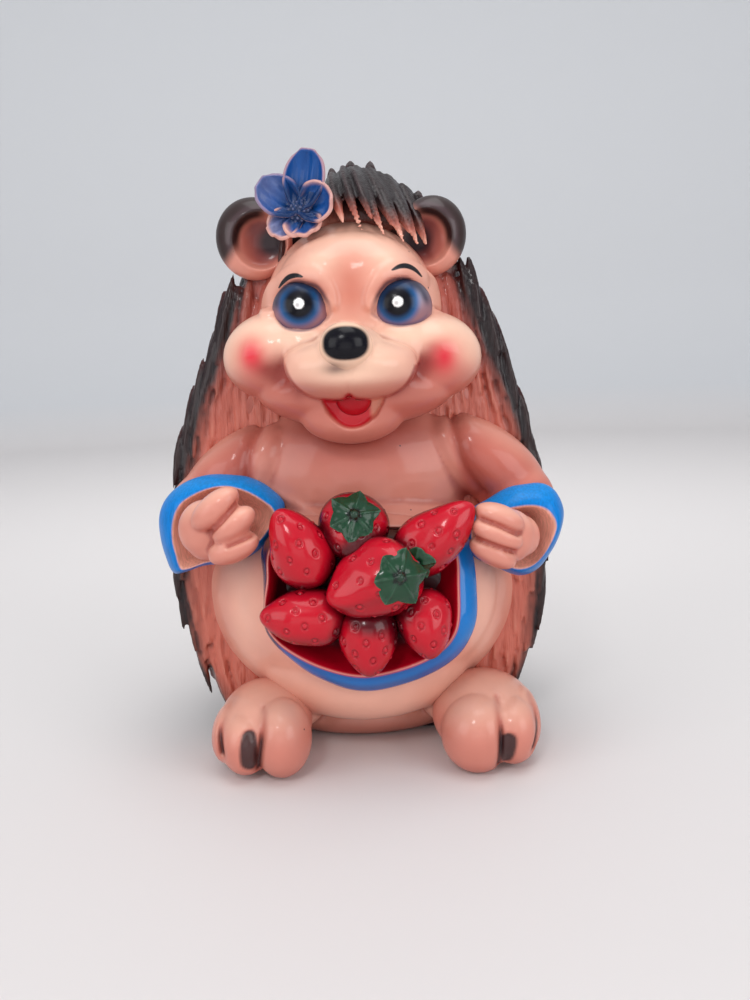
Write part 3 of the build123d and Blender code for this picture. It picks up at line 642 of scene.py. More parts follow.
# painted shade on the arms except where they face up
clay.tint(ease(np.abs(x), 52, 60) * ease(high, 118, 136) * ease(-clay.normals[:, 2], -0.85, 0.0), "skinDeep",
          0.68)
clay.tint(ease(np.abs(x), 50, 58) * ease(high, 116, 130) * ease(-y, 6, 22), "skinDeep", 0.52)
# painted light on the underside of the belly, in place of light from below
clay.tint(clay.near((0, -60, 36), (60, 44, 18)) * clay.front(0.5), "cream", 0.2)
clay.tint(clay.near((0, -50, 176), (44, 40, 12)), "skinShade", 0.9)
clay.tint(ease(groove, 0.3, 1.3), "skinShade", 0.5)
for pit, side in zip(torso["armpits"], (-1, 1)):
    flat = curve(pit, 5)
    away = clay.distance(flat, (0, 2))
    edge = np.interp(high, flat[::-1, 2], flat[::-1, 0])
    outer = ease(side * (x - edge), -2, 3) * clay.front(0.2)
    clay.tint(np.exp(-(away / 10) ** 2) * outer, "skinShade", 0.42)
    # painted shade in the armpit crease
    clay.tint(np.exp(-(away / 2.4) ** 2) * clay.front(), "skinDeep", 0.4)
clay.tint(ease(-high, -16, -6), "skinShade", 0.55)
clay.tint(ease(y, -26, -12), "skinDeep", 0.8)
# the belly behind the berries is painted near black: painted shade between and behind the berries
clay.tint(lap, "berryDark")
clay.finish()
dress(torsoPiece, "skin")
print("torso", len(torsoPiece.data.vertices))


def evenly(line, count):
    # a closed line with its points at even steps
    closed = np.vstack([line, line[:1]])
    length = np.concatenate([[0], np.cumsum(np.linalg.norm(np.diff(closed, axis=0), axis=1))])
    at = np.linspace(0, length[-1], count, endpoint=False)
    return np.column_stack([np.interp(at, length, column) for column in closed.T])


def addLoop(bm, chain, count):
    # a closed ring of points evenly along a smooth closed line
    made = bmesh.ops.create_circle(bm, segments=count, radius=mm)["verts"]
    for vert, place in zip(made, evenly(curve(chain, 12, closed=True), count)):
        vert.co = Vector(place) * mm
    return list({edge for vert in made for edge in vert.link_edges})


def addTube(bm, loops, count):
    # a skin through closed loops, shut at both ends
    rings = [addLoop(bm, loop, count) for loop in loops]
    for a, b in zip(rings, rings[1:]):
        bmesh.ops.bridge_loops(bm, edges=a + b)
    bmesh.ops.holes_fill(bm, edges=rings[0] + rings[-1], sides=0)
    bmesh.ops.recalc_face_normals(bm, faces=bm.faces)


def scaled(chain, share, shift=(0, 0, 0)):
    # a loop drawn in towards its own middle and moved
    points = np.array(chain, float)
    middle = points.mean(0)
    return middle + (points - middle) * share + np.array(shift, float)


def deepen(chain, y):
    # an outline seen from the front, as a loop at depth y, which may be one number or one for each point
    points = np.array(chain, float)
    return np.column_stack([points[:, 0], np.broadcast_to(y, len(points)), points[:, 1]])


def beyondLine(points, chain):
    # how far points lie outside a closed outline, seen from the front
    line = curve(chain, 8, True)
    middle = line.mean(0)
    nearest = line[np.argmin(((points[:, None, ::2] - line[None, :, ::2]) ** 2).sum(2), axis=1)]

    def flat(gap):
        return np.hypot(gap[:, 0], gap[:, 2])

    away = flat(points - nearest)
    return np.where(flat(points - middle) > flat(nearest - middle), away, -away)


# Cuffs: thick rolled mouths with a blue painted band
cuffs = {
    "left": {
        "outer": [(-37.9, 139.8), (-42.8, 146.3), (-49.3, 151.8), (-57.9, 155.7), (-68.1, 157.6),
                  (-78.5, 157), (-88, 154.2), (-96.2, 149.2), (-101.8, 142.6), (-104.5, 134.7),
                  (-104.5, 124.1), (-103, 114.9), (-99.4, 104.8), (-92.3, 105.5), (-81.6, 109),
                  (-65.8, 110), (-52, 116), (-42, 128)],
        "crest": [(-42.5, 137.5), (-48.3, 144.2), (-57, 149.4), (-66, 151.8), (-74, 151.2), (-82.5, 148.2),
                  (-89.8, 143.4), (-93.8, 135.2), (-94.8, 125.4), (-93.4, 116.9), (-91.8, 110.6),
                  (-87.4, 110.6), (-79.4, 113.2), (-66, 115.5), (-56, 120), (-48, 127)],
        "outerY": -57, "crestY": -69, "middle": (-72, 132),
    },
    "right": {
        "outer": [(60, 134), (69.6, 140.5), (76.4, 143.8), (84.2, 146.2), (92, 147.0), (99.7, 145.2),
                  (105.2, 140.2), (108.3, 131), (105.4, 121.5), (100.8, 111), (95, 102), (86.5, 97.4),
                  (76, 100.5), (64, 106), (56, 114), (54, 125)],
        "crest": [(62, 131), (70.7, 134.6), (78.3, 136), (86, 136.8), (92.6, 136), (97.6, 132.8),
                  (100.4, 125.5), (96.4, 114.7), (90.4, 107.2), (82.7, 104.6), (74.5, 106.5), (65, 110.5),
                  (59, 117), (58, 125)],
        "outerY": -58, "crestY": -70, "middle": (80, 121),
    },
}
for side, cuff in cuffs.items():
    outer, crest = (deepen(evenly(curve(cuff[edge], 10, True), 40), cuff[edge + "Y"])
                    for edge in ("outer", "crest"))
    loops = [scaled(outer, 0.66, (0, 20, 4)), scaled(outer, 0.88, (0, 11, 1)),
             scaled(outer, 0.985, (0, 4, 0)), outer,
             outer * 0.66 + crest * 0.34 + (0, -2.8, 0), outer * 0.3 + crest * 0.7 + (0, -2.6, 0),
             crest + (0, -0.6, 0), scaled(crest, 0.95, (0, 1.2, 0)), scaled(crest, 0.86, (0, 5, 0)),
             scaled(crest, 0.70, (0, 11, 0)), scaled(crest, 0.45, (0, 15, 0))]
    bm = bmesh.new()
    addTube(bm, loops, 72)
    cuffPiece = addPiece(f"{side}Cuff", bm, (f"{side}_cuff_border",))
    subdivide(cuffPiece, 2)
    clay = Clay(cuffPiece, "skin")
    wave = noise.normal(0, 0.25, 4)
    swell = sum(part * np.sin(clay.points @ noise.normal(0, 0.12, 3)) for part in wave)
    clay.raiseBy(1, swell)
    beyond = beyondLine(clay.points, crest)
    x, y, z = clay.points.T
    # painted light on the cuff's front-facing parts, and painted shade inside its opening
    clay.tint(clay.front(), "skinLight", 0.45)
    clay.tint(ease(y, -66, -56) * ease(-beyond, 1, 3), "skinDeep", 0.3)
    outside = ease(beyond, 0.0, 0.8) * ease(-y, 47, 52)
    clay.tint(outside, "blue")
    # painted highlight on the band's upper faces, painted shade on its lower faces
    clay.tint(outside * ease(clay.normals[:, 2], 0.3, 0.95), "blueLight", 0.35)
    clay.tint(outside * ease(-clay.normals[:, 2], 0.2, 0.9), "blueDeep", 0.6)
    clay.finish()
    dress(cuffPiece, "blue")

# Fists: three rolled fingers on a palm
fists = {
    "left": [((-76, -76, 132), (14, 12, 15)), ((-69, -86, 143.6), (14.5, 9.5, 7.6), (0, -40, 0)),
             ((-60, -89, 136), (12.5, 9, 6.8), (0, -36, 0)),
             ((-61, -87.5, 124), (13.5, 8.5, 7.2), (0, -22, 0)), ((-74, -74, 125), (13, 12, 10))],
    "right": [((75, -76, 123), (14, 12, 14)), ((69.5, -86, 134.5), (13, 9, 6.6), (0, 22, 0)),
              ((68, -88, 126.5), (13.5, 9, 6.4), (0, 24, 0)), ((66, -86, 117), (13, 8.5, 6.4), (0, 30, 0)),
              ((82, -72, 122), (10, 11, 11))],
}
folds = {
    "left": [[(-71.5, 132.5), (-64.6, 139), (-57, 147.2)], [(-62.5, 126.4), (-55.5, 128.8), (-47.5, 132)]],
    "right": [[(60, 135), (68.5, 131.8), (78.5, 126.5)], [(57.6, 125), (66.2, 121.8), (76, 117.8)]],
}
for side, lumps in fists.items():
    bm = bmesh.new()
    for lump in lumps:
        addLump(bm, *lump)
    fist = addPiece(f"{side}Fist", bm, (f"{side}_fist",))
    fuse(fist, "fist")
    clay = Clay(fist)
    for fold in folds[side]:
        clay.raiseBy(clay.line(fold, 1.2), -1.5)
    clay.smooth(1)
    clay.tint(1, "skinDeep", 0.2)
    # painted light on the upward faces
    clay.tint(ease(clay.normals[:, 2], 0.1, 0.9), "skinLight", 0.6)
    clay.tint(ease(clay.hollows(16), 0.1, 0.6), "skinShade", 0.7)
    # painted shade in the finger folds and on the downward faces
    for fold in folds[side]:
        clay.tint(clay.line(fold, 1.3), "skinDeep", 0.45)
    clay.tint(ease(-clay.normals[:, 2], 0.2, 0.9), "skinDeep", 0.6)
    clay.finish()
    dress(fist, "skin")
print("arms ready")

# Apron pouch: red lining inside a thin rim, blue band outside
pouch = {
    "crest": [(-44, 121), (-45.5, 106.1), (-47.1, 96.1), (-46.6, 85.9), (-42.1, 78.1), (-35.6, 71.7),
              (-26, 65.2), (-16.3, 60.7), (-6.5, 57.7), (3.4, 56.8), (15.9, 59), (28.4, 63.2), (38.5, 69),
              (44.6, 76), (47.7, 85.1), (48.5, 100.2), (48.3, 116), (42, 128), (20, 130), (-6, 131),
              (-32, 130)],
    "outer": [(-49.2, 121), (-49, 106.7), (-48.9, 94.9), (-48.9, 83), (-44.6, 73.4), (-38, 65.6),
              (-28.5, 56.4), (-17.1, 49.4), (-6.1, 44.9), (5.5, 44), (18.3, 46.6), (31.1, 51), (43.5, 58),
              (52.2, 67.2), (58, 81.3), (59, 96.7), (58, 112), (53, 124), (22, 134), (-6, 135), (-36, 133)],
    "outerY": -84, "crestY": -92,
}
rings = [evenly(curve(pouch[edge], 10, True), 90) for edge in ("outer", "crest")]
# the mouth leans back towards the top, where the belly takes over
outer, crest = (deepen(ring, depth + 0.30 * np.maximum(ring[:, 1] - 82, 0) + 0.16
                       * np.maximum(78 - ring[:, 1], 0))
                for ring, depth in zip(rings, (pouch["outerY"], pouch["crestY"])))
loops = [scaled(outer, 0.97, (0, 24, 3)), scaled(outer, 0.99, (0, 11, 1)), scaled(outer, 1.0, (0, 4, 0)),
         outer,
         outer * 0.6 + crest * 0.4 + (0, -1.9, 0), outer * 0.25 + crest * 0.75 + (0, -1.5, 0), crest,
         scaled(crest, 0.982, (0, 0.5, 0)), scaled(crest, 0.955, (0, 3, 0)), scaled(crest, 0.90, (0, 9, 0)),
         scaled(crest, 0.70, (0, 13, 0))]
bm = bmesh.new()
addTube(bm, loops, 128)
pouchPiece = addPiece("apronPouch", bm, ("apron_pouch", "apron_hem"))
subdivide(pouchPiece, 2)
# the pouch is dark where it is deep and red near its mouth: painted shade inside the pouch
clay = Clay(pouchPiece, "berryDark")
beyond = beyondLine(clay.points, crest)
x, y, z = clay.points.T
clay.tint(ease(beyond, -11, -3) * ease(x, -34, -10), "berry", 0.92)
clay.tint(ease(beyond, -5, -1.5), "berry", 0.85)
clay.tint(np.exp(-((beyond - 0.3) / 0.45) ** 2), "rim", 0.6)
outside = ease(beyond, 0.7, 1.5)
clay.tint(outside, "blueDeep")
clay.tint(outside * ease(x, 20, 50) * ease(z, 60, 80), "blue", 0.75)
clay.tint(outside * np.exp(-((beyond - 5) / 2.2) ** 2) * ease(-z, -110, -90), "blue", 0.6)
clay.tint(ease(z, 118, 124) * ease(beyond, -2, 1), "skin")
clay.tint(ease(-x, 38, 44) * ease(z, 66, 74) * ease(beyond, 0.4, 1.0), "berryDark", 0.75)
clay.finish()
dress(pouchPiece, "berry")


def aim(direction):
    return Vector(direction).normalized().to_track_quat("Z", "Y").to_matrix()


def gather(bm, part):
    # a small bmesh joins the large one, because operators slow down as a bmesh grows
    mesh = bpy.data.meshes.new("part")
    part.to_mesh(mesh)
    part.free()
    bm.from_mesh(mesh)
    bpy.data.meshes.remove(mesh)


# Strawberries: blunt cones dented by ringed seeds
berries = {
    "strawberry_upper_left": {"middle": (-29.5, -86, 122.5), "tip": (-0.40, -0.16, 0.90), "long": 44,
                              "wide": 33},
    "strawberry_top": {"middle": (-2.5, -80, 129.0), "tip": (0.0, -0.85, -0.52), "long": 36, "wide": 38},
    "strawberry_upper_right": {"middle": (38.5, -85, 126.0), "tip": (0.75, -0.16, 0.62), "long": 49,
                               "wide": 31},
    "strawberry_front": {"middle": (7.5, -94, 107), "tip": (-0.90, -0.30, -0.32), "long": 49, "wide": 41},
    "strawberry_lower_left": {"middle": (-28, -90, 88.5), "tip": (-0.96, -0.20, 0.12), "long": 43,
                              "wide": 31},
    "strawberry_bottom": {"middle": (3.5, -91, 76), "tip": (0.0, -0.40, -0.92), "long": 36, "wide": 32},
    "strawberry_lower_right": {"middle": (31.5, -89.5, 83), "tip": (0.10, -0.50, -0.86), "long": 36,
                               "wide": 31},
}
seeds = {"count": 30, "ring": 1.45, "width": 0.55, "depth": 0.62, "nub": 0.3}
skins = {}  # the berries' surfaces, for the leaves to lie on
for name, berry in berries.items():
    bm = bmesh.new()
    bmesh.ops.create_icosphere(bm, subdivisions=6, radius=1)
    turned = aim(berry["tip"]).to_4x4()
    toFront = turned.to_3x3().transposed() @ Vector((0, -1, 0))
    shown = [edge for edge in bm.edges if (edge.verts[0].co + edge.verts[1].co).dot(toFront) > -0.1]
    bmesh.ops.subdivide_edges(bm, edges=shown, cuts=1, use_grid_fill=True)
    made = bm.verts[:]
    for vert in made:  # broadest near the stem, drawn in to a blunt tip
        vert.co.normalize()
        up = vert.co.z
        swell = (1.06 - 0.30 * up - 0.07 * up * up) / 1.16
        wide = berry["wide"] / 2 * swell
        vert.co = Vector((vert.co.x * wide, vert.co.y * wide, up * berry["long"] / 2)) * mm
    bmesh.ops.transform(bm, matrix=Matrix.Translation(Vector(berry["middle"]) * mm) @ turned, verts=made)
    skins[name] = BVHTree.FromBMesh(bm)
    piece = addPiece(name.replace("strawberry_", "berry_"), bm, (name,))
    clay = Clay(piece, "berry")
    middle = np.array(berry["middle"], float)
    away = clay.points - middle
    own = away / np.linalg.norm(away, axis=1)[:, None]
    swell = sum(noise.normal(0, 0.30) * np.sin(away @ noise.normal(0, 0.16, 3) + noise.random() * 6)
                for turn in range(5))
    clay.raiseBy(1, swell)
    ring = np.zeros(len(clay.points))
    nub = np.zeros(len(clay.points))
    start = noise.random() * 6
    for at in range(seeds["count"]):
        z = 1 - 2 * (at + 0.5) / seeds["count"]
        side = np.sqrt(1 - z * z)
        turn = start + 2.4 * at
        way = np.array(turned.to_3x3() @ Vector((side * cos(turn), side * sin(turn), z)))
        spot = clay.points[np.argmax(own @ way)] + noise.normal(0, 0.5, 3)
        reach = np.linalg.norm((clay.points - spot) * (1, 1, 0.85), axis=1)
        size = seeds["ring"] * noise.uniform(0.85, 1.15)
        ring = np.maximum(ring, np.exp(-((reach - size) / seeds["width"]) ** 2))
        nub = np.maximum(nub, np.exp(-(reach / (size * 0.6)) ** 2))
    clay.raiseBy(ring, -seeds["depth"])
    clay.raiseBy(nub, seeds["nub"])
    # painted shade in the seed rings, painted highlight on the seeds
    clay.tint(ring, "berryDark", 0.22)
    clay.tint(nub, "berryLight", 0.15)
    # painted highlight on the upward faces, painted shade on the downward faces, on faces turned away from
    # the front and towards the back of the pouch
    clay.tint(ease(clay.normals[:, 2], 0.2, 0.9), "berryLight", 0.2)
    clay.tint(ease(-clay.normals[:, 2], 0.15, 0.95), "berryDark", 0.6)
    clay.tint(ease(clay.normals[:, 1], -0.45, 0.1), "berryDark", 0.8)
    clay.tint(ease(clay.points[:, 1], -86, -78), "berryDark", 0.85)
    for other, mate in berries.items():  # painted shade where two berries meet
        if other != name and mate["middle"][1] < berry["middle"][1] + 2:
            gap = np.linalg.norm((clay.points - np.array(mate["middle"], float)) * (1, 0.35, 1), axis=1)
            clay.tint(ease(-gap, -(mate["wide"] * 0.70), -(mate["wide"] * 0.50)), "berryDark", 0.9)
    clay.finish()
    dress(piece, "berry")

# Calyxes: rounded ribbed leaves laid on the berry, with a stem scar
calyxes = {
    "strawberry_front_calyx": {"berry": "strawberry_front", "from": (19.5, -112, 112.5),
                               "up": (0.55, -0.80, 0.22),
                               "leaves": [(0, 18), (62, 17), (118, 16), (180, 16), (236, 19), (300, 20)]},
    "strawberry_top_calyx": {"berry": "strawberry_top", "from": (-1, -96, 141), "up": (0.05, -0.66, 0.75),
                             "leaves": [(10, 18), (75, 16), (135, 17), (200, 19), (255, 20), (315, 19)]},
    "strawberry_upper_right_calyx": {"berry": "strawberry_upper_right", "from": (27.5, -96, 115.5),
                                     "up": (-0.45, -0.75, -0.50),
                                     "leaves": [(0, 12), (70, 11), (150, 12), (220, 12), (290, 11)]},
}
leafShape = {"wide": 0.47, "thick": 1.1, "rib": 0.7, "stem": 2.6}
for name, calyx in calyxes.items():
    bm = bmesh.new()
    basis = aim(calyx["up"])
    place = Vector(calyx["from"])
    for angle, long in calyx["leaves"]:
        part = bmesh.new()
        made = addLump(part, (0, 0, 0), (1, 1, 1), detail=5)
        way = basis @ Vector((cos(radians(angle)), sin(radians(angle)), 0))
        across = basis @ Vector((-sin(radians(angle)), cos(radians(angle)), 0))
        for vert in made:
            u, v, w = vert.co / mm
            out = (u + 1) / 2 * long
            side = v * long * leafShape["wide"] * (1 - 0.35 * max(u, 0) ** 2)
            flat = place + way * out + across * side
            near, normal = skins[calyx["berry"]].find_nearest(flat * mm)[:2]
            rise = leafShape["thick"] * (w + 0.35) + leafShape["rib"] * max(0, 1 - abs(side))
            rise += 0.25 * long * max(u - 0.3, 0) ** 2 - 0.25 * abs(v)
            vert.co = near + normal * rise * mm
        gather(bm, part)
    near, normal = skins[calyx["berry"]].find_nearest(place * mm)[:2]
    addLump(bm, near / mm + normal * 0.8, (leafShape["stem"],) * 3, detail=4)
    piece = addPiece(name.replace("strawberry_", "leaves_"), bm, (name,))
    fuse(piece, "leaf")
    clay = Clay(piece, "leaf")
    groove = clay.hollows(14)
    # painted shade in the grooves, painted highlight on the ridges
    clay.tint(ease(groove, 0.0, 0.3), "leafDark", 0.9)
    clay.tint(ease(-groove, 0.15, 0.5), "leafLight", 0.3)
    scar = np.linalg.norm(clay.points - np.array(near) / mm, axis=1)
    clay.tint(ease(-scar, -4.2, -2.6), "leafDark", 0.95)
    clay.finish()
    dress(piece, "berry")
print("berries ready")

# Feet: three lobes each, dark claws painted at the clefts
feet = {
    "left": {
        "lumps": [((-54, -58, 22), (25, 30, 22)), ((-43.5, -77, 20.5), (15.5, 19, 20.5)),
                  ((-62.5, -76, 18.5), (13.5, 17, 17)), ((-71.5, -68, 20.5), (10, 18, 16), (0, 8, 0))],
        "clefts": [[(-51.6, 37), (-52.4, 26), (-55.8, 8)], [(-68, 41), (-74.3, 29), (-73.6, 16)]],
        "widths": [1.5, 1.4],
        "claw": [(-62, 28), (-55.4, 27), (-56.4, 10), (-63.3, 12)],
    },
    "right": {
        "lumps": [((64, -57, 22), (28, 30, 23)), ((58, -77, 19.5), (19, 19, 20.5)),
                  ((76.5, -74, 19.5), (14, 17, 18)), ((84.5, -64, 22), (8.5, 17, 17), (0, -8, 0))],
        "clefts": [[(68.1, 38), (68.4, 26), (67.7, 5)], [(86.5, 36), (88.8, 24), (86, 12)]],
        "widths": [1.4, 1.1],
        "claw": [(68.8, 22.4), (76.2, 22), (74.2, 8.4), (69, 8)],
    },
}
for side, foot in feet.items():
    bm = bmesh.new()
    for lump in foot["lumps"]:
        addLump(bm, *lump)
    piece = addPiece(f"{side}Foot", bm, (f"{side}_foot",))
    fuse(piece, "foot")
    clay = Clay(piece)
    for cleft in foot["clefts"]:
        clay.move(clay.line(cleft, 1.6) * (0.45 + 0.55 * ease(-clay.points[:, 2], -34, -24)), (0, 4.2, 0))
    clay.move(clay.inside(foot["claw"], 1.2), (0, 1.6, 0))
    clay.points[:, 2] = np.maximum(clay.points[:, 2], 0.0)
    clay.smooth(1)
    clay.points[:, 2] = np.maximum(clay.points[:, 2], 0.0)
    x, y, z = clay.points.T
    clay.tint(1, "skinDeep", 0.42)
    # painted light on the upward faces and a painted highlight on the front tops
    clay.tint(ease(clay.normals[:, 2], 0.0, 0.9), "skinLight", 0.42)
    clay.tint(ease(clay.normals[:, 2], 0.3, 0.95) * ease(-y, 50, 66), "cream", 0.2)
    clay.tint(ease(y, -58, -42), "skinDeep", 0.7)
    # painted shade along the floor and in the creases
    clay.tint(ease(-z, -12, -3), "skinDeep", 0.45)
    clay.tint(ease(clay.hollows(24), 0.3, 1.2), "skinDeep", 0.6)
    for cleft, width in zip(foot["clefts"], foot["widths"]):
        clay.tint(clay.line(cleft, width * 1.6), "skinShade", 0.25)
        clay.tint(clay.line(cleft, width * 0.9) * ease(-z, -30, -23), "claw", 0.9)
    clay.tint(clay.inside(foot["claw"], 0.8), "claw", 0.92)
    clay.finish()
    dress(piece, "skin")
print("feet ready")

# Ears: open bowls with a thick dark rim
ears = {
    "left": {"centre": (-50, -29, 278), "size": (20.2, 12, 21.5), "turn": -14, "bowl": (-46, 276),
             "dark": (-39.5, 276)},
    "right": {"centre": (43.5, -29, 276.5), "size": (18.6, 12, 20.8), "turn": 12, "bowl": (39.5, 275),
              "dark": (35.5, 275)},
}
for side, ear in ears.items():
    bm = bmesh.new()
    addLump(bm, ear["centre"], ear["size"], (0, ear["turn"], 0), 5)
    piece = addPiece(f"{side}Ear", bm, (f"{side}_ear",))
    fuse(piece, "ear")
    clay = Clay(piece, "skin")
    sign = -1 if side == "left" else 1
    x, z = ear["bowl"]
    away = np.hypot((clay.points[:, 0] - x) / 13.8, (clay.points[:, 2] - z) / 14.2)
    bowl = np.sqrt(np.clip(1 - away ** 2, 0, 1)) * clay.front(-0.1)
    clay.move(bowl, (0, 11.0, 0))
    clay.smooth(5)
    x, y, z = clay.points.T
    turned = clay.points - np.array(ear["centre"], float)
    dark = np.hypot((x - ear["dark"][0]) / 9.5, (z - ear["dark"][1]) / 9.5)
    over = ease(turned[:, 2] * 0.68 + sign * turned[:, 0] * 0.74, -1, 6)
    clay.tint(ease(-away, -1.05, -0.6), "earInner", 0.8)
    # painted shade deep in the bowl
    clay.tint(ease(-away, -1.0, -0.6) * ease(-sign * turned[:, 0] + 0.2 * turned[:, 2], -9, 2), "earDeep",
              0.9)
    clay.tint(ease(-dark, -1.15, -0.5) * ease(-away, -1.0, -0.85), "earDark", 0.95)
    clay.tint(over * ease(away, 0.74, 0.92), "coat", 0.97)
    # painted highlight along the dark rim
    clay.tint(over * np.exp(-((away - 1.18) / 0.12) ** 2), "coatLight", 0.3)
    clay.tint(ease(y, -31, -23), "coat", 0.97)
    clay.tint(ease(-turned[:, 2], 6, 16) * ease(y, -36, -26), "skinDeep", 0.6)
    clay.finish()
    dress(piece, "skin")

# Flower: five cupped petals round a crinkled button
flower = {
    "centre": (-23.5, -50, 287), "button": (6.6, 4.2, 6.4), "thick": 1.9, "knobs": 46, "knob": 0.85,
    "petals": {
        "petal_1": {"way": (0.20, 0.10, 0.97), "long": 30, "wide": 19, "cup": 6.0, "edge": 0.96, "pink": 0.55,
                    "lilac": 0.0},
        "petal_2": {"way": (-0.82, 0.10, 0.56), "long": 24, "wide": 19, "cup": 6.5, "edge": 0.97, "pink": 0.3,
                    "lilac": 0.30},
        "petal_3": {"way": (-0.82, -0.12, -0.55), "long": 18.5, "wide": 15, "cup": 3.0, "edge": 0.78,
                    "pink": 0.85, "lilac": 0.75},
        "petal_4": {"way": (0.20, -0.38, -0.90), "long": 14, "wide": 18, "cup": 4.0, "edge": 0.62,
                    "pink": 0.85, "lilac": 0.1},
        "petal_5": {"way": (0.93, -0.16, 0.33), "long": 18, "wide": 20, "cup": 6.5, "edge": 0.86, "pink": 0.8,
                    "lilac": 0.05},
    },
}
lookOut = Vector((-0.08, -0.95, 0.30)).normalized()
for name, petal in flower["petals"].items():
    way = Vector(petal["way"]).normalized()
    up = (lookOut - way * lookOut.dot(way)).normalized()
    basis = Matrix((way, up.cross(way), up)).transposed().to_4x4()
    bm = bmesh.new()
    made = bmesh.ops.create_grid(bm, x_segments=28, y_segments=28, size=1)["verts"]
    for vert in made:  # a square grid drawn into a round cupped petal
        u, v = vert.co.x, vert.co.y
        flatU, flatV = u * np.sqrt(1 - v * v / 2), v * np.sqrt(1 - u * u / 2)
        spread = 0.62 + 0.38 * min(1, (flatU + 1) / 0.9)
        out = (flatU + 1) / 2 * petal["long"]
        side = flatV * spread * petal["wide"] / 2
        round2 = flatU * flatU + flatV * flatV
        lift = petal["cup"] * (0.25 * (out / petal["long"]) ** 2 + 0.75
                               * round2 ** 1.6) - 0.7 * cos(9 * flatV)
        vert.co = Vector((out, side, lift)) * mm
    bmesh.ops.transform(bm, matrix=Matrix.Translation(Vector(flower["centre"]) * mm) @ basis, verts=made)
    piece = addPiece(name.replace("_", "."), bm, (name,))
    thick = piece.modifiers.new("thick", "SOLIDIFY")
    thick.thickness = flower["thick"] * mm
    thick.offset = -1
    subdivide(piece, 1)
    clay = Clay(piece, "petal")
    local = (clay.points - np.array(flower["centre"], float)) @ np.array(basis.to_3x3())
    inner = ease(clay.normals @ np.array(up), 0.0, 0.5)
    out = local[:, 0] / petal["long"]
    edge = np.hypot((out - 0.5) * 2, local[:, 1] / petal["wide"] * 2)
    clay.tint(ease(out, 0.30, 0.95), "petalLilac", petal["lilac"])
    clay.tint(ease(-out, -0.62, -0.2), "petalDeep", 0.85)
    clay.tint(ease(edge, petal["edge"], 1.05) * ease(out, 0.3, 0.5), "petalEdge", petal["pink"])
    clay.tint(1 - inner, "petalLilac", 0.6)
    clay.tint(1 - inner, "petalEdge", petal["pink"])
    clay.finish()
    dress(piece, "petal")
bm = bmesh.new()
addLump(bm, flower["centre"], flower["button"], detail=5)
basis = aim(lookOut)
for at in range(flower["knobs"]):
    z = 1 - (at + 0.5) / flower["knobs"]
    side = np.sqrt(1 - z * z)
    way = basis @ Vector((side * cos(2.4 * at), side * sin(2.4 * at), z))
    place = Vector(flower["centre"]) + Vector([w * r for w, r in zip(way, flower["button"])])
    addLump(bm, place, (flower["knob"],) * 3, detail=2)
addLump(bm, (-20, -42, 287), (8, 8, 8))
button = addPiece("flowerButton", bm, ("flower_button",))
fuse(button, "button")
clay = Clay(button, "petalDeep")
groove = clay.hollows(6)
# painted highlight on the knobs, painted shade between them
clay.tint(ease(-groove, 0.02, 0.3), "petalLilac", 0.35)
clay.tint(ease(groove, 0.02, 0.3), "nose", 0.8)
clay.finish()
dress(button, "petal")
print("flower ready")

# Quilled back: tufts of three strands laid like shingles over a dome
quills = {
    "rows": 27, "pitch": 8.6, "length": 23, "width": 4.3, "thick": 4.2, "lift": 2.9, "rear": 8,
    "heights": (0, 13, 24, 37, 49, 70, 95, 110, 130, 150, 167, 190, 213, 225, 247, 262, 275, 287, 298, 306,
                311.5, 313),
    "widths": (72, 77, 85, 92.5, 98.5, 102, 104, 104, 102.5, 99, 94.5, 87.5, 77.5, 72.8, 64, 60.5, 53,
               43.5, 35, 24, 10, 1.5),
    "depthShare": 0.87, "front": -27,
}
profile = curve(list(zip(quills["widths"], quills["heights"])), 8)
profile[:, 0] = np.maximum(profile[:, 0], 0.5)
arc = np.concatenate([[0], np.cumsum(np.linalg.norm(np.diff(profile, axis=0), axis=1))])


def domePoint(length, angle):
    # a point on the dome's skin and the way out of it
    wide, z = (np.interp(length, arc, profile[:, axis]) for axis in (0, 1))
    below, above = (np.array([np.interp(length + step, arc, profile[:, axis]) for axis in (0, 1)])
                    for step in (-2, 2))
    slope = above - below
    deep = wide * quills["depthShare"]
    out = Vector((cos(angle), sin(angle) / quills["depthShare"], 0)).normalized()
    out = (out * slope[1] + Vector((0, 0, -slope[0]))).normalized()
    return Vector((wide * cos(angle), quills["rear"] + deep * sin(angle), z)), out


def layStrand(bm, root, tip, out, width, thick, roll=0.0, blunt=0.35):
    # one tapering strand from root to tip
    along = (tip - root)
    length = along.length
    along.normalize()
    side = out.cross(along).normalized()
    rise = along.cross(side).normalized()
    basis = Matrix((side, rise, along)).transposed().to_4x4()
    made = bmesh.ops.create_icosphere(bm, subdivisions=2, radius=1)["verts"]
    for vert in made:
        up = vert.co.z
        taper = 1.0 - blunt * max(up, 0)
        vert.co = Vector((vert.co.x * width / 2 * taper, vert.co.y * thick / 2 * taper, up * length / 2)) * mm
    where = Matrix.Translation((root + tip) / 2 * mm) @ basis @ Matrix.Rotation(roll, 4, "Z")
    bmesh.ops.transform(bm, matrix=where, verts=made)


bands = {"lowerQuills": (0.0, 0.27), "middleQuills": (0.25, 0.51), "upperQuills": (0.49, 0.75),
         "crownQuills": (0.73, 1.01)}
reach = arc[-1]


def inEar(place):
    return place.y < -25 and any(np.hypot(place.x - ear["centre"][0],
                                          place.z - ear["centre"][2]) < ear["size"][0] - 3
                                 for ear in ears.values())


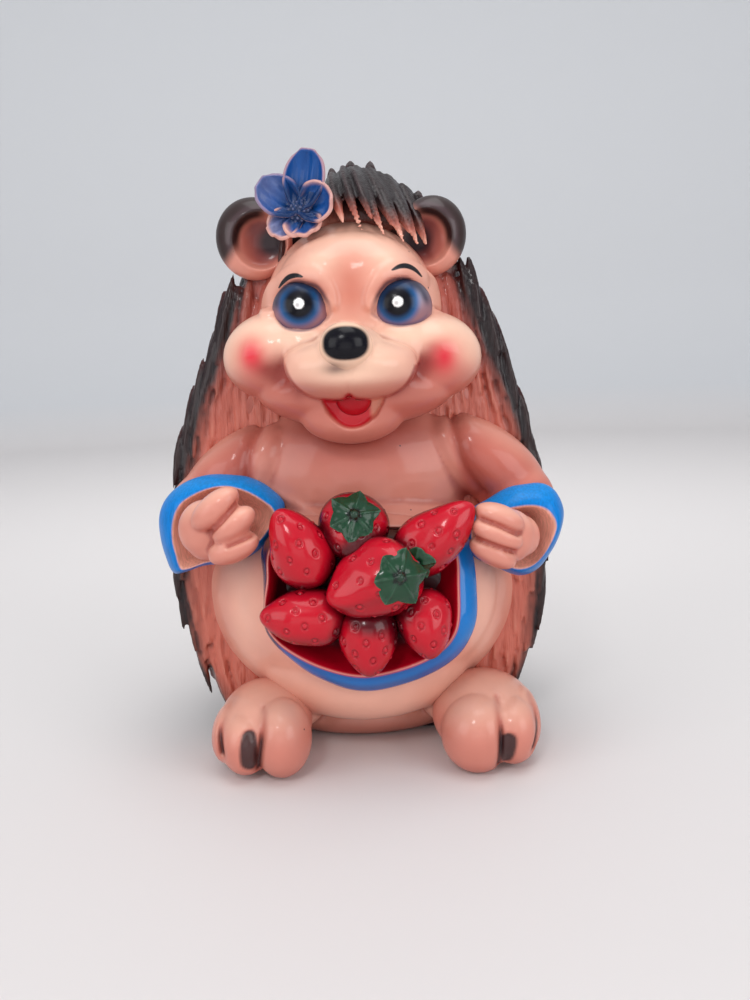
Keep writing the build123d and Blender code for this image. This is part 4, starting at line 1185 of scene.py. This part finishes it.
for bandName, (low, high) in bands.items():
    bm = bmesh.new()
    rings = []
    for step in range(15):  # the dome's slice under the strands
        length = reach * (max(low - 0.03, 0) + (min(high, 0.995) - max(low - 0.03, 0)) * step / 14)
        wide = np.interp(length, arc, profile[:, 0])
        start = -np.arcsin(min(0.98, (-quills["front"] - 1
                                      + quills["rear"]) / max(wide * quills["depthShare"], 1)))
        made = bmesh.ops.create_circle(bm, segments=61, radius=mm)["verts"]
        for at, vert in enumerate(made):
            place, out = domePoint(length, start + (pi - 2 * start) * at / 60)
            vert.co = (place - out * 1.5) * mm
        rings.append(list({edge for vert in made for edge in vert.link_edges}))
    for a, b in zip(rings, rings[1:]):
        bmesh.ops.bridge_loops(bm, edges=a + b)
    bmesh.ops.holes_fill(bm, edges=rings[0] + rings[-1], sides=0)
    bmesh.ops.recalc_face_normals(bm, faces=bm.faces)
    for row in range(quills["rows"] + 1):
        length = reach * row / quills["rows"] + 4
        if not low <= length / reach < high:
            continue
        part = bmesh.new()
        wide = np.interp(length, arc, profile[:, 0])
        around = pi * wide * (1 + quills["depthShare"]) / 2
        count = max(int(2 * around / quills["pitch"] / 1.75), 3)
        for at in range(count):
            angle = -0.62 + (pi + 1.24) * (at + (0.5 if row % 2 else 0.0)
                                           + random.uniform(-0.18, 0.18)) / count
            early = random.uniform(-2.2, 2.2)
            tipPlace, out = domePoint(max(length + early - quills["length"] * 0.5, 0),
                                      angle + random.uniform(-0.03, 0.03))
            for strand in (-1, 0, 1):
                spread = strand * quills["pitch"] / 3 / max(wide, 20)
                root, rootOut = domePoint(min(length + early + quills["length"] * 0.5, reach),
                                          angle + spread * 1.25)
                tip = tipPlace + Vector((-sin(angle), cos(angle), 0)) * strand * quills["pitch"] * 0.20
                tip += out * (quills["lift"] * random.uniform(0.6, 1.2) - abs(strand) * 0.8)
                tip.z += random.uniform(-2, 2) - 1.5 * (1 - abs(strand))
                root = root - rootOut * random.uniform(0.4, 1.6)
                if min(root.y, tip.y) < quills["front"] - 4 or inEar(root) or inEar(tip):
                    continue
                tip.z = max(tip.z, 2.5)
                layStrand(part, root, tip, out, quills["width"] * random.uniform(0.75, 1.15),
                          quills["thick"] * random.uniform(0.85, 1.1), random.uniform(-0.5, 0.5))
        gather(bm, part)
    piece = addPiece(bandName, bm, ("quill_coat",))
    fuse(piece, "quills")
    clay = Clay(piece, "coat")
    clay.points[:, 2] = np.maximum(clay.points[:, 2], 0.0)
    clay.smooth(1, 0.6)
    groove = clay.hollows(6)
    # painted highlight on the ridges, painted shade in the grooves
    clay.tint(ease(-groove, 0.1, 0.9), "coatLight", 0.4)
    clay.tint(ease(groove, 0.1, 0.8), "nose", 0.7)
    clay.finish()
    dress(piece, "coat")
    print(bandName, len(piece.data.vertices))

# Pink fur: fine drooping strands between the quills and the body
fur = {"step": 8.5, "rows": 32, "columns": 11, "spread": 47, "length": 38, "width": 5.4, "thick": 5.6,
       "top": 268, "backing": (22, 5.5, 10)}  # the backing is a lump behind each row
for side, sign in (("left", -1), ("right", 1)):
    bm = bmesh.new()
    for row in range(fur["rows"]):
        z = fur["top"] - row * fur["step"]
        edge = np.interp(z, quills["heights"], quills["widths"])
        part = bmesh.new()
        for at in range(fur["columns"]):
            share = (at + (0.5 if row % 2 else 0) + random.uniform(-0.25, 0.25)) / fur["columns"]
            x = edge - 1 - share * fur["spread"]
            long = fur["length"] * random.uniform(0.75, 1.25)
            tipZ = z - long * 0.55
            tipEdge = np.interp(max(tipZ, 0), quills["heights"], quills["widths"])
            drift = (tipEdge - edge) * (1 - share) + random.uniform(-2, 2)
            root = Vector((sign * x, -26 - 5 * share, z + long * 0.45))
            tip = Vector((sign * (x + drift), -32.5 - 6 * share + random.uniform(-1, 1), max(tipZ, 4)))
            if root.z > 285 or z < 60 and x < 56 or inEar(root) or inEar(tip):
                continue
            layStrand(part, root, tip, Vector((0, -1, 0)), fur["width"] * random.uniform(0.65, 1.2),
                      fur["thick"] * random.uniform(0.8, 1.15), random.uniform(-0.4, 0.4), 0.5)
        addLump(part, (sign * (edge - 25), -24.5, min(max(z, 14), 262)), fur["backing"], detail=3)
        gather(bm, part)
    piece = addPiece(f"{side}Fur", bm, (f"{side}_fur",))
    fuse(piece, "fur")
    clay = Clay(piece, "furSalmon")
    groove = clay.hollows(7)
    x, y, z = clay.points.T
    edge = np.interp(z, quills["heights"], quills["widths"])
    deep = sign * x - edge  # 0 at the coat's edge, below 0 towards the body
    clay.tint(ease(z, 150, 225) * ease(deep, -34, -8), "furRust", 0.7)
    # painted shade in the grooves, painted highlight on the ridges
    clay.tint(ease(groove, 0.1, 1.0), "furGroove", 0.6)
    clay.tint(ease(-groove, 0.15, 0.9), "furLight", 0.35)
    clay.tint(ease(deep, -14, -4) * (0.45 + 0.55 * ease(groove, -0.4, 0.3)), "coat", 0.97)
    clay.tint(ease(deep, -7, -2), "coat", 0.95)
    clay.tint(ease(y, -31, -26), "furGroove", 0.5)
    clay.tint(ease(z, 250, 268), "coat", 0.9)
    clay.finish()
    dress(piece, "fur")
    print(f"{side}Fur", len(piece.data.vertices))

# Crown: blunt knobs that stand up, and locks swept down to the right over the forehead
crown = {
    "knobs": [((2.5, -10, 297), (2, -15, 319), 10.5), ((12, -10, 297), (12.7, -15, 318.5), 9.5),
              ((21, -10, 293), (22.8, -16, 311), 9.5), ((29, -10, 290), (29, -18, 306), 9),
              ((-6, -10, 296), (-8.5, -14, 316), 8.5), ((37, -12, 284), (38, -20, 301.5), 9),
              ((-18, -8, 292), (-19, -12, 309), 10), ((7, -2, 296), (7.5, 2, 315), 9),
              ((17, 0, 294), (18, 3, 312), 9), ((-4, 0, 296), (-4, 4, 313), 9)],
    "locks": [
        [(-7, -20, 309), (-7, -38, 302), (-4.5, -54, 290), (-1, -63, 278.5)],
        [(-1, -20, 312), (-0.5, -38, 304), (2.5, -55, 291), (7.7, -64, 273.5)],
        [(6, -20, 312), (8.5, -38, 302.5), (13, -54, 288), (18.6, -63, 271.5)],
        [(13, -20, 311), (17.5, -37, 299.5), (23, -52, 284), (28.9, -61, 268.8)],
        [(22, -20, 307), (26, -34, 296), (31, -47, 282), (35.5, -55, 267.5)],
        [(30, -20, 302), (33, -30, 292), (37, -41, 280), (40, -48, 269)],
        [(3, -22, 311), (5, -36, 306), (8, -52, 294), (12.5, -60.5, 280)],
        [(10, -22, 310), (14, -35, 302.5), (18.5, -49, 289), (23, -57, 277)],
        [(18, -22, 308), (22, -32, 299), (27, -45, 286), (31.5, -53, 275)],
    ],
    "lockWidth": 6.6, "cap": ((8, -15, 289), (36, 21, 15.5)),
    "strands": [(-0.42, -0.1), (-0.15, 0.3), (0.16, 0.12),
                (0.44, -0.12)],  # of a lock: aside and up, in its widths
}
bm = bmesh.new()
addLump(bm, *crown["cap"])
for root, tip, width in crown["knobs"]:
    root, tip = Vector(root), Vector(tip) + Vector((0, 0, 0.5))
    layStrand(bm, root, tip, Vector((0, -1, 0)), width, width * 0.95, blunt=0.2)
    for strand in (-1, 1):
        step = Vector((strand * width * 0.26, -width * 0.22, 0))
        layStrand(bm, root + step, tip + step - Vector((strand, 0, 2.2)), Vector((0, -1, 0)), width * 0.5,
                  width * 0.5, blunt=0.2)
for lock in crown["locks"]:
    part = bmesh.new()
    line = curve(lock, 8)
    for strand, (aside, rise) in enumerate(crown["strands"]):
        reach = 1.0 - 0.12 * (strand % 2) - random.uniform(0, 0.08)
        for at in np.linspace(0, reach, 26):
            share = at / reach
            place = [np.interp(at * (len(line) - 1), np.arange(len(line)), line[:, axis])
                     for axis in range(3)]
            spread = crown["lockWidth"] * (1 - 0.75 * share ** 2)
            size = crown["lockWidth"] * 0.27 * (1 - 0.72 * share ** 2.5)
            place = np.array(place) + np.array((aside, -rise * 0.5, rise)) * spread
            addLump(part, place, (size,) * 3, detail=2)
    gather(bm, part)
piece = addPiece("crownTufts", bm, ("crown_tufts",))
fuse(piece, "crown")
clay = Clay(piece, "furSalmon")
groove = clay.hollows(8)
high = clay.points[:, 2] + 0.25 * clay.points[:, 0]
clay.tint(ease(-high, -286, -279), "skinLight", 0.85)
# painted shade in the grooves
clay.tint(ease(groove, 0.05, 0.7), "furGroove", 0.55)
clay.tint(ease(-high, -285, -278), "skin", 0.6)
clay.tint(ease(high, 279, 290) * ease(groove, -1.2, 0.4), "coat", 0.95)
clay.tint(ease(high, 284, 296), "coat", 0.95)
# painted highlight on the ridges of the dark locks
clay.tint(ease(-groove, 0.2, 0.9) * ease(high, 290, 300), "coatLight", 0.45)
clay.finish()
dress(piece, "fur")
print("crown", len(piece.data.vertices))
